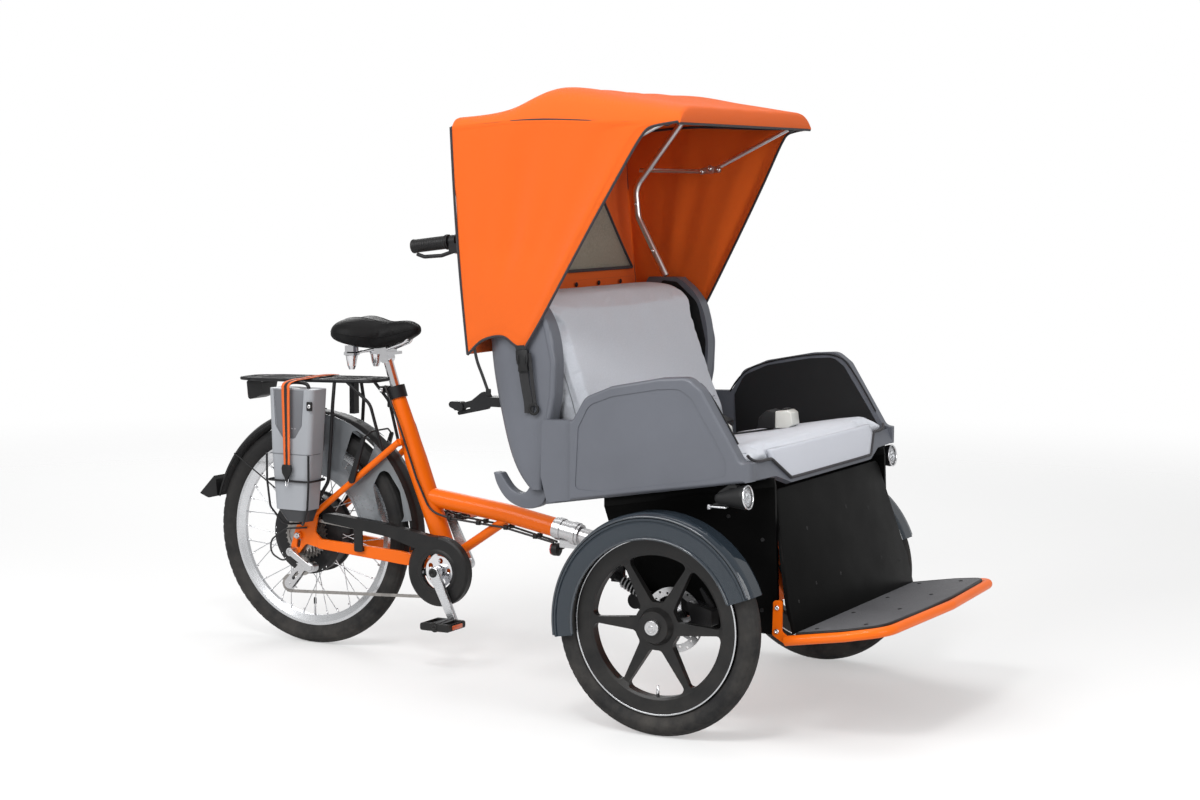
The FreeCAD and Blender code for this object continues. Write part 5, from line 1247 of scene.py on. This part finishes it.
# lamps
def facetDisc(radius, x, y, z, axis, depth, rings=6, spokes=24):
    # moulded lens: rings of small raised facets on a shallow dome
    along = Vector(axis).normalized()
    across = Vector((0, 0, 1)) if abs(along.z) < 0.8 else Vector((1, 0, 0))
    across = (across - along * across.dot(along)).normalized()
    third = along.cross(across)
    base = at(x, y, z)
    verts, n, count = [base + along * depth], spokes * 2, rings * 2
    for i in range(1, count + 1):
        r = radius * i / count
        dome = depth * (1 - (r / radius) ** 2)
        for k in range(n):
            a = pi * k / spokes
            facet = 0.0011 if i % 2 and k % 2 else 0.0
            verts.append(base + across * r * cos(a) + third * r * sin(a) + along * (dome + facet))
    verts += [v - along * 0.003 for v in verts[-n:]]
    faces = [(0, 1 + k, 1 + (k + 1) % n) for k in range(n)]
    faces += [tuple(1 + i for i in face) for face in tubeFaces(count + 1, n)]
    return verts, faces + [tuple(1 + count * n + k for k in reversed(range(n)))]


def makeLamps():
    lenses, bowls, clips = [], [], []
    along = Vector((1, 0, 0.1)).normalized()
    bowl = [(0.0, 0.0745), (0.006, 0.0745), (0.014, 0.0755), (0.0235, 0.0785), (0.0235, 0.0795),
            (0.013, 0.0767), (0.0, 0.0755)]
    ring = [(0.0255, 0.0795), (0.0292, 0.0795), (0.0298, 0.0815), (0.0285, 0.0835), (0.0258, 0.0830)]
    for s in (-1, 1):
        x, y, z = 1.488, s * 0.466, 0.577
        lenses.append(facetDisc(0.0255, x + along.x * 0.0795, y, z + along.z * 0.0795, along, 0.0045, 5, 16))
        bowls += [spinProfile(bowl, x, y, z, 32, along), spinProfile(ring, x, y, z, 40, along)]
        clips.append(roundedBox((1.472, 1.516), span(s, 0.457, 0.475), (0.5555, 0.5600), 2))
        clips.append(roundedBox((1.466, 1.474), span(s, 0.461, 0.471), (0.5500, 0.5620)))
    fitPiece("headlight_lenses", lenses, "smoke_plastic", material=lensClear, smooth=False, merge=0)
    fitPiece("headlight_reflectors", bowls, "chrome")
    bevelled("headlight_clips", clips, "rim_alloy")
    # red lens of the rear lamp and the round reflector under the boom
    outline = [(-0.028, -0.020), (0.028, -0.020), (0.031, 0.010), (0.028, 0.018), (-0.028, 0.018),
               (-0.031, 0.010)]
    bevelled("rear_lamp_lens", [prism([(y, 0.722 + z) for y, z in outline], 0, -0.2112, -0.2040)],
             "smoke_plastic", 0.002, 3, "rear_frame", lensRed)
    fitPiece("boom_reflector_lens", [facetDisc(0.0165, 0.7805, 0, 0.333, (-1, 0, 0), 0.0022, 5, 14)],
             "smoke_plastic", "rear_frame", lensRed, False, 0)


makeLamps()
print("lamps glazed")


# battery fittings
def makeBatteryTrim():
    face = -0.160
    panel = [(-0.0195, 0.7395), (-0.0135, 0.6420), (-0.0085, 0.6185), (0.0105, 0.6065), (0.0490, 0.6065),
             (0.0645, 0.6185), (0.0715, 0.6420), (0.0805, 0.7395)]
    bevelled("battery_panel", [prism(panel, 1, face + 0.0025, face + 0.0045)], "grey_plastic", 0.0008,
             body="rear_frame", material=batteryDark)
    bezel = roundedBox((0.0925, 0.1105), (face - 0.0030, face + 0.0010), (0.6845, 0.7095))
    bevelled("battery_lock_bezel", [bezel], "black_plastic", 0.0008, body="rear_frame")
    lock = [(0.0, 0.0), (0.0055, 0.0), (0.0055, 0.0012), (0.0046, 0.0020), (0.0, 0.0020)]
    barrel = spinProfile(lock, 0.1015, face - 0.0029, 0.697, 28, (0, -1, 0))
    fitPiece("battery_lock", [barrel], "chrome", "rear_frame")
    keySlot = roundedBox((0.1008, 0.1022), (face - 0.0053, face - 0.0045), (0.6940, 0.7000), corner=0.0005)
    fitPiece("battery_key_slot", [keySlot], "black_plastic", "rear_frame", merge=0)
    # carrying handle, four charge dots and the split line round the case
    handle = ((0.000, 0.742), (0.001, 0.751), (0.014, 0.757), (0.036, 0.758), (0.058, 0.757), (0.071, 0.751),
              (0.072, 0.742))
    strip("battery_handle", [[at(x, -0.122, z) for x, z in handle]], 0.0052, "black_plastic", "rear_frame")
    dots = [(0.020 + 0.010 * k, face + 0.0024, 0.632) for k in range(4)]
    fitPiece("battery_charge_dots", [domes(dots, 0.0018, 0.0010, (0, -1, 0), 12)], "rim_alloy", "rear_frame")
    ring = [(-0.0345, -0.1603), (-0.0205, -0.1610), (0.0800, -0.1610), (0.0950, -0.1590), (0.0995, -0.1450),
            (0.0995, -0.1000), (0.0850, -0.0845), (-0.0205, -0.0845), (-0.0345, -0.1000), (-0.0355, -0.1450)]
    strip("battery_split_line", [[at(x, y, 0.5605) for x, y in ring + ring[:1]]], 0.0008, "grey_plastic",
          "rear_frame", batteryDark)


makeBatteryTrim()

# grips
gripSet = {"start": (0.556, 1.1495), "end": (0.6605, 1.1624), "half": 0.330, "radius": 0.0162, "rib": 0.0011,
           "ribs": 17}


def makeGrips():
    s = gripSet
    (x0, z0), (x1, z1) = s["start"], s["end"]
    run = Vector((x1 - x0, 0, z1 - z0))
    size, low, high = run.length, s["radius"], s["radius"] + s["rib"]
    outline = [(0.0095, 0.0), (low + 0.0020, 0.0), (low + 0.0024, 0.003), (low, 0.0065)]
    pitch = (size - 0.016) / s["ribs"]
    for k in range(s["ribs"]):
        t = 0.008 + pitch * k
        outline += [(low, t), (high, t + pitch * 0.22), (high, t + pitch * 0.62), (low, t + pitch * 0.84)]
    outline += [(low + 0.0034, size - 0.004), (low + 0.0036, size), (0.0112, size)]
    parts = [spinProfile(outline, x0, side * s["half"], z0, 48, run) for side in (-1, 1)]
    fitPiece("bar_grips", parts, "black_plastic", merge=0)


def makeBarFittings():
    # clamp bolts, and cables from the levers down to the back of the bench
    parts = [domes([(0.6860, s * 0.334, 1.1355)], 0.0042, 0.003, (0, 0, -1)) for s in (-1, 1)]
    parts += [domes([(0.7035, y, z)], 0.0036, 0.003, (-1, 0, 0))
              for y in (-0.018, 0.018) for z in (1.1560, 1.1800)]
    fitPiece("bar_bolts", parts, "bare_steel")
    path = ((0.698, 0.334, 1.148), (0.722, 0.320, 1.150), (0.735, 0.200, 1.128), (0.738, 0.060, 1.085),
            (0.742, 0.022, 1.000), (0.746, 0.018, 0.930), (0.790, 0.020, 0.872), (0.828, 0.026, 0.850))
    strip("brake_cables", [row(path, s) for s in (-1, 1)], 0.0026, "cable_sheath")


makeGrips()
makeBarFittings()
print("battery, grips and bar fittings made")


# hood frame fittings
def makeFrameFittings():
    links, heads, knobs, screws = [], [], [], []
    washer = [(0.0, 0.0), (0.0092, 0.0), (0.0092, 0.0012), (0.0, 0.0012)]
    plate = [(1.030, 1.3385), (1.092, 1.3425), (1.094, 1.3575), (1.060, 1.3600), (1.028, 1.3520)]
    knob = [(0.0, -0.010), (0.0095, -0.010), (0.0112, -0.004), (0.0112, 0.010), (0.0090, 0.014), (0.0, 0.014)]
    for s in (-1, 1):
        for x, z in ((1.036, 1.3452), (1.060, 1.3530), (1.086, 1.3500)):
            links.append(spinProfile(washer, x, s * 0.3765, z, 24, (0, -s, 0)))
            heads.append(domes([(x, s * 0.3752, z)], 0.0055, 0.0042, (0, -s, 0)))
        links.append(prism(plate, 1, *span(s, 0.3770, 0.3790)))
        knobs.append(spinProfile(knob, 1.306, s * 0.3700, 1.4625, 24, (0.9, 0, 0.42)))
        for x, y, z in ((0.8395, 0.3632, 1.255), (0.8925, 0.3634, 1.126), (0.9090, 0.3680, 1.398)):
            screws.append(domes([(x, s * y, z)], 0.0042, 0.0030, (0.3, -s, 0)))
    fitPiece("hood_joint_links", links, "bare_steel", smooth=False)
    fitPiece("hood_joint_bolts", heads + screws, "chrome")
    fitPiece("hood_end_knobs", knobs, "black_plastic")


makeFrameFittings()

# footplate and panels
plateTilt = radians(9.4)
plateFoot = (1.640, 0.240)
panelFoot, panelTop = (1.654, 0.284), (1.578, 0.587)


def onPlate(x, height):
    # point of the tilted footplate: level distance and height above its plane before tilting
    (footX, footZ), dx, dz = plateFoot, x - plateFoot[0], height - plateFoot[1]
    return (footX + dx * cos(plateTilt) - dz * sin(plateTilt),
            footZ + dx * sin(plateTilt) + dz * cos(plateTilt))


def onPanel(z, out):
    # how far forward the leaning front panel is at one height, off its face
    t = (z - panelFoot[1]) / (panelTop[1] - panelFoot[1])
    return panelFoot[0] + (panelTop[0] - panelFoot[0]) * t + out


def makePlateFittings():
    bolts = []
    for x, narrow in ((1.700, 1), (1.820, 0.96)):
        for y in (-0.345, -0.115, 0.115, 0.345):
            px, pz = onPlate(x, 0.2562)
            bolts.append(domes([(px, y * narrow, pz)], 0.0055, 0.0018, (-sin(plateTilt), 0, cos(plateTilt))))
    for y, z in ((-0.335, 0.325), (0.335, 0.325), (-0.215, 0.350), (0.215, 0.350), (-0.200, 0.480),
                 (0.060, 0.500), (0.200, 0.480), (-0.060, 0.350)):
        bolts.append(domes([(onPanel(z, 0.0002), y, z)], 0.0050, 0.0018, (0.97, 0, 0.243)))
    for s in (-1, 1):
        for x, z in ((1.470, 0.520), (1.560, 0.470), (1.330, 0.490), (1.560, 0.300)):
            bolts.append(domes([(x, s * 0.3602, z)], 0.0050, 0.0020, (0, s, 0)))
    fitPiece("panel_bolts", bolts, "black_metal")
    outline = [(1.662, 0.3855), (1.730, 0.3880), (1.780, 0.3885), (1.825, 0.3755), (1.866, 0.3560),
               (1.882, 0.3000), (1.891, 0.1600), (1.8945, 0.0)]
    edge = []
    for x, y in [(x, -y) for x, y in outline] + outline[-2::-1]:
        px, pz = onPlate(x + 0.0016, 0.2530)
        edge.append(at(px, y * 1.004, pz))
    strip("footplate_edge", [edge], 0.0040, "black_plastic")
    nuts = [domes([(1.618, s * 0.4020, z)], 0.0062, 0.0045, (0, s, 0))
            for s in (-1, 1) for z in (0.262, 0.318)]
    fitPiece("bracket_bolts", nuts, "chrome")


makePlateFittings()
print("panels and footplate fitted")

# drive fittings
driveSet = {"crank": (0.462, 0.254), "length": 0.143, "angle": -64.3, "boltR": 0.060}


def makeDriveFittings():
    (x, z), angle, length, boltR = (driveSet[key] for key in ("crank", "angle", "length", "boltR"))
    cap = [(0.0, 0.097), (0.0125, 0.097), (0.0125, 0.0995), (0.0105, 0.1015), (0.0050, 0.1015),
           (0.0045, 0.0995), (0.0, 0.0995)]
    fitPiece("crank_caps", [spinProfile(cap, x, 0, z, 32, (0, s, 0)) for s in (-1, 1)], "black_plastic",
             "crankset")
    angles = [radians(angle + 36 + 72 * k) for k in range(5)]
    bolts = [(x + boltR * cos(a), -0.0690, z + boltR * sin(a)) for a in angles]
    fitPiece("chainring_bolts", [domes(bolts, 0.0048, 0.0020, (0, -1, 0))], "bare_steel", "crankset")
    for s, label in sides:
        a = radians(angle + (180 if s > 0 else 0))
        px, pz = x + length * cos(a), z + length * sin(a)
        plates = [roundedBox(tuple(sorted((px + end * 0.0445, px + end * 0.0478))), span(s, 0.122, 0.171),
                             (pz - 0.0058, pz + 0.0058), 0, 0.002) for end in (-1, 1)]
        bevelled("pedal_reflectors_" + label, plates, "smoke_plastic", 0.0006, body="pedal_" + label,
                 material=amberLens)
        end = domes([(px, s * 0.1880, pz)], 0.0085, 0.0035, (0, s, 0), 20)
        fitPiece("pedal_cap_" + label, [end], "black_plastic", "pedal_" + label)
    nut = [(0.0, 0.0), (0.0098, 0.0), (0.0098, 0.006), (0.0078, 0.0085), (0.0055, 0.0088), (0.0055, 0.0130),
           (0.0040, 0.0142), (0.0, 0.0142)]
    nuts = [spinProfile(nut, 0, s * 0.0805, wheelSet["rearR"], 6, (0, s, 0)) for s in (-1, 1)]
    nuts.append(domes([(-0.020, -0.0940, 0.272), (0.046, -0.0900, 0.232)], 0.0062, 0.0030, (0, -1, 0)))
    fitPiece("axle_nuts", nuts, "bare_steel", "rear_frame", smooth=False)


def makeCableClips():
    # clips that hold the cables along the underside of the boom, and the seat clamp's bolt
    clips = []
    for x, y, z in ((0.470, 0.024, 0.396), (0.560, 0.020, 0.389), (0.645, 0.016, 0.382),
                    (0.735, 0.012, 0.364)):
        clips += [roundedBox((x - 0.006, x + 0.006), span(s, y - 0.006, y + 0.006),
                             (z - 0.0055, z + 0.0070), 0, 0.0025) for s in (-1, 1)]
    bevelled("cable_clips", clips, "black_plastic", 0.0008, body="rear_frame")
    bolt = domes([(0.248, -0.0245, 0.739)], 0.0065, 0.0040, (0, -1, 0))
    fitPiece("seat_clamp_bolt", [bolt], "bare_steel", "rear_frame")


springSet = {"low": (1.290, 0, 0.300), "high": (1.176, 0, 0.356), "start": 0.026, "length": 0.0675,
             "radius": 0.0145, "turns": 7, "half": 0.390}


def makeSprings():
    # coil springs round the two dampers
    s = springSet
    low, high = Vector(s["low"]), Vector(s["high"])
    run = (low - high).normalized()
    aside = Vector((0, 1, 0))
    third = run.cross(aside)
    points = []
    for k in range(16 * s["turns"] + 1):
        a = 2 * pi * k / 16
        centre = high + run * (s["start"] + s["length"] * k / (16 * s["turns"]))
        points.append(centre + aside * s["radius"] * cos(a) + third * s["radius"] * sin(a))
    coils = [[at(p.x, p.y + side * s["half"], p.z) for p in points] for side in (-1, 1)]
    strip("damper_springs", coils, 0.0019, "bare_steel")


def makeBenchTrim():
    # dark edge of the linings inside the armrests
    inner = ((1.098, 0.756), (1.129, 0.810), (1.207, 0.843), (1.338, 0.868), (1.414, 0.872), (1.458, 0.842),
             (1.530, 0.722))
    lines = [[at(x, s * 0.4384, z - 0.017) for x, z in inner] for s in (-1, 1)]
    strip("lining_edge", lines, 0.0022, "black_plastic")


# carriage covers
def seatBottom(x):
    return 0.552 + (x - 1.168) * seatSet["tilt"]


def leanedBoard(outline, face, back):
    # outline of (y, distance up the slope) points on the front panel's lean
    low, high = at(panelFoot[0], 0, panelFoot[1]), at(panelTop[0], 0, panelTop[1])
    up = (high - low).normalized()
    out = Vector((up.z, 0, -up.x))
    verts = [low + up * v + out * depth + Vector((0, y, 0)) for depth in (face, back) for y, v in outline]
    return verts, capFaces(len(outline))


def makeCarriageCovers():
    # upper strakes of the seat box, up to the underside of the seat
    outline = [(1.131, 0.519), (1.590, 0.599), (1.586, seatBottom(1.586) - 0.001),
               (1.131, seatBottom(1.131) - 0.001)]
    strakes = [prism(outline, 1, *span(s, 0.3502, 0.3604)) for s in (-1, 1)]
    bevelled("seat_box_strakes", strakes, "black_panel", 0.0006, 1)
    # facing of the front panel, down to the footboard
    rise = 0.3135
    half = [(0.3936, -0.0265), (0.3936, 0.048), (0.388, 0.062), (0.3345, rise - 0.020), (0.326, rise - 0.006),
            (0.316, rise)]
    outline = [(-0.3936, -0.0265)] + half + [(-y, v) for y, v in half[:0:-1]]
    bevelled("front_panel_facing", [leanedBoard(outline, 0.0014, -0.0075)], "black_panel")
    # smooth skins over the tail hooks of the back
    outer = curveThrough([(0.860, 0.597), (0.870, 0.568), (0.889, 0.540), (0.913, 0.522), (0.945, 0.512),
                          (0.975, 0.513), (1.000, 0.524), (1.012, 0.545)], 30)
    inner = curveThrough([(1.008, 0.571), (0.988, 0.573), (0.968, 0.569), (0.956, 0.555), (0.942, 0.548),
                          (0.924, 0.552), (0.908, 0.562), (0.893, 0.580), (0.882, 0.596)], 30)
    hooks = [prism([*outer, *inner], 1, *span(s, 0.4108, 0.4412)) for s in (-1, 1)]
    bevelled("tail_hook_skins", hooks, "bench_plastic", 0.0040, 3)
    # rolled edges of the front mudguards: the outer shoulder and the edge of the skirt
    w = wheelSet
    angles = [radians(21 + 168 * k / 40) for k in range(41)]
    for s, label in sides:
        lines = [[at(w["frontX"] + r * cos(a), s * (w["frontY"] + offset), w["frontR"] + r * sin(a))
                  for a in angles] for r, offset in ((0.2140, 0.0430), (0.2665, 0.0415))]
        strip("mudguard_edges_" + label, lines, 0.0030, "mudguard_gloss", material=guardEdge)


flapSet = {"low": 0.6075, "high": 0.682, "foot": (0.609, 0.254), "top": (0.658, 0.322), "crown": 0.0034,
           "lift": 0.0035, "depth": 0.008, "wide": 40, "tall": 10}


def makeSeatFlap():
    # sewn flap that fills the dip of the bench's front edge, crowned over its filling
    s = flapSet
    wide, tall = s["wide"], s["tall"]
    (footZ, footHalf), (topZ, topHalf) = s["foot"], s["top"]
    verts, index = [], {}
    for side in (0, 1):
        for j in range(tall + 1):
            z = s["low"] + (s["high"] - s["low"]) * j / tall
            half = footHalf + (topHalf - footHalf) * limit((z - footZ) / (topZ - footZ))
            for i in range(wide + 1):
                u = 2 * i / wide - 1
                crown = s["crown"] * (1 - u ** 6) * sin(pi * min(1, (j + 0.6) / tall)) ** 0.7
                index[side, i, j] = len(verts)
                verts.append(at(frontFace(z) + (s["lift"] + crown if side else -s["depth"]), half * u, z))
    faces = []
    for side in (0, 1):
        faces += gridFaces({(i, j): index[side, i, j] for i in range(wide + 1) for j in range(tall + 1)},
                           wide + 1, tall + 1)
    rim = [(i, j, i + 1, j) for i in range(wide) for j in (0, tall)]
    rim += [(i, j, i, j + 1) for j in range(tall) for i in (0, wide)]
    faces += [(index[0, i, j], index[0, m, n], index[1, m, n], index[1, i, j]) for i, j, m, n in rim]
    # the flap wears the darker copy of the cushion cloth, painted shade on its front face
    flap = addPiece("seat_flap", meshFrom("seat_flap", verts, faces), "cushion_fabric", material=flapShadedCloth)


makeDriveFittings()
makeCableClips()
makeSprings()
makeBenchTrim()
makeCarriageCovers()
makeSeatFlap()
print("drive, clips, bench trim and covers made")
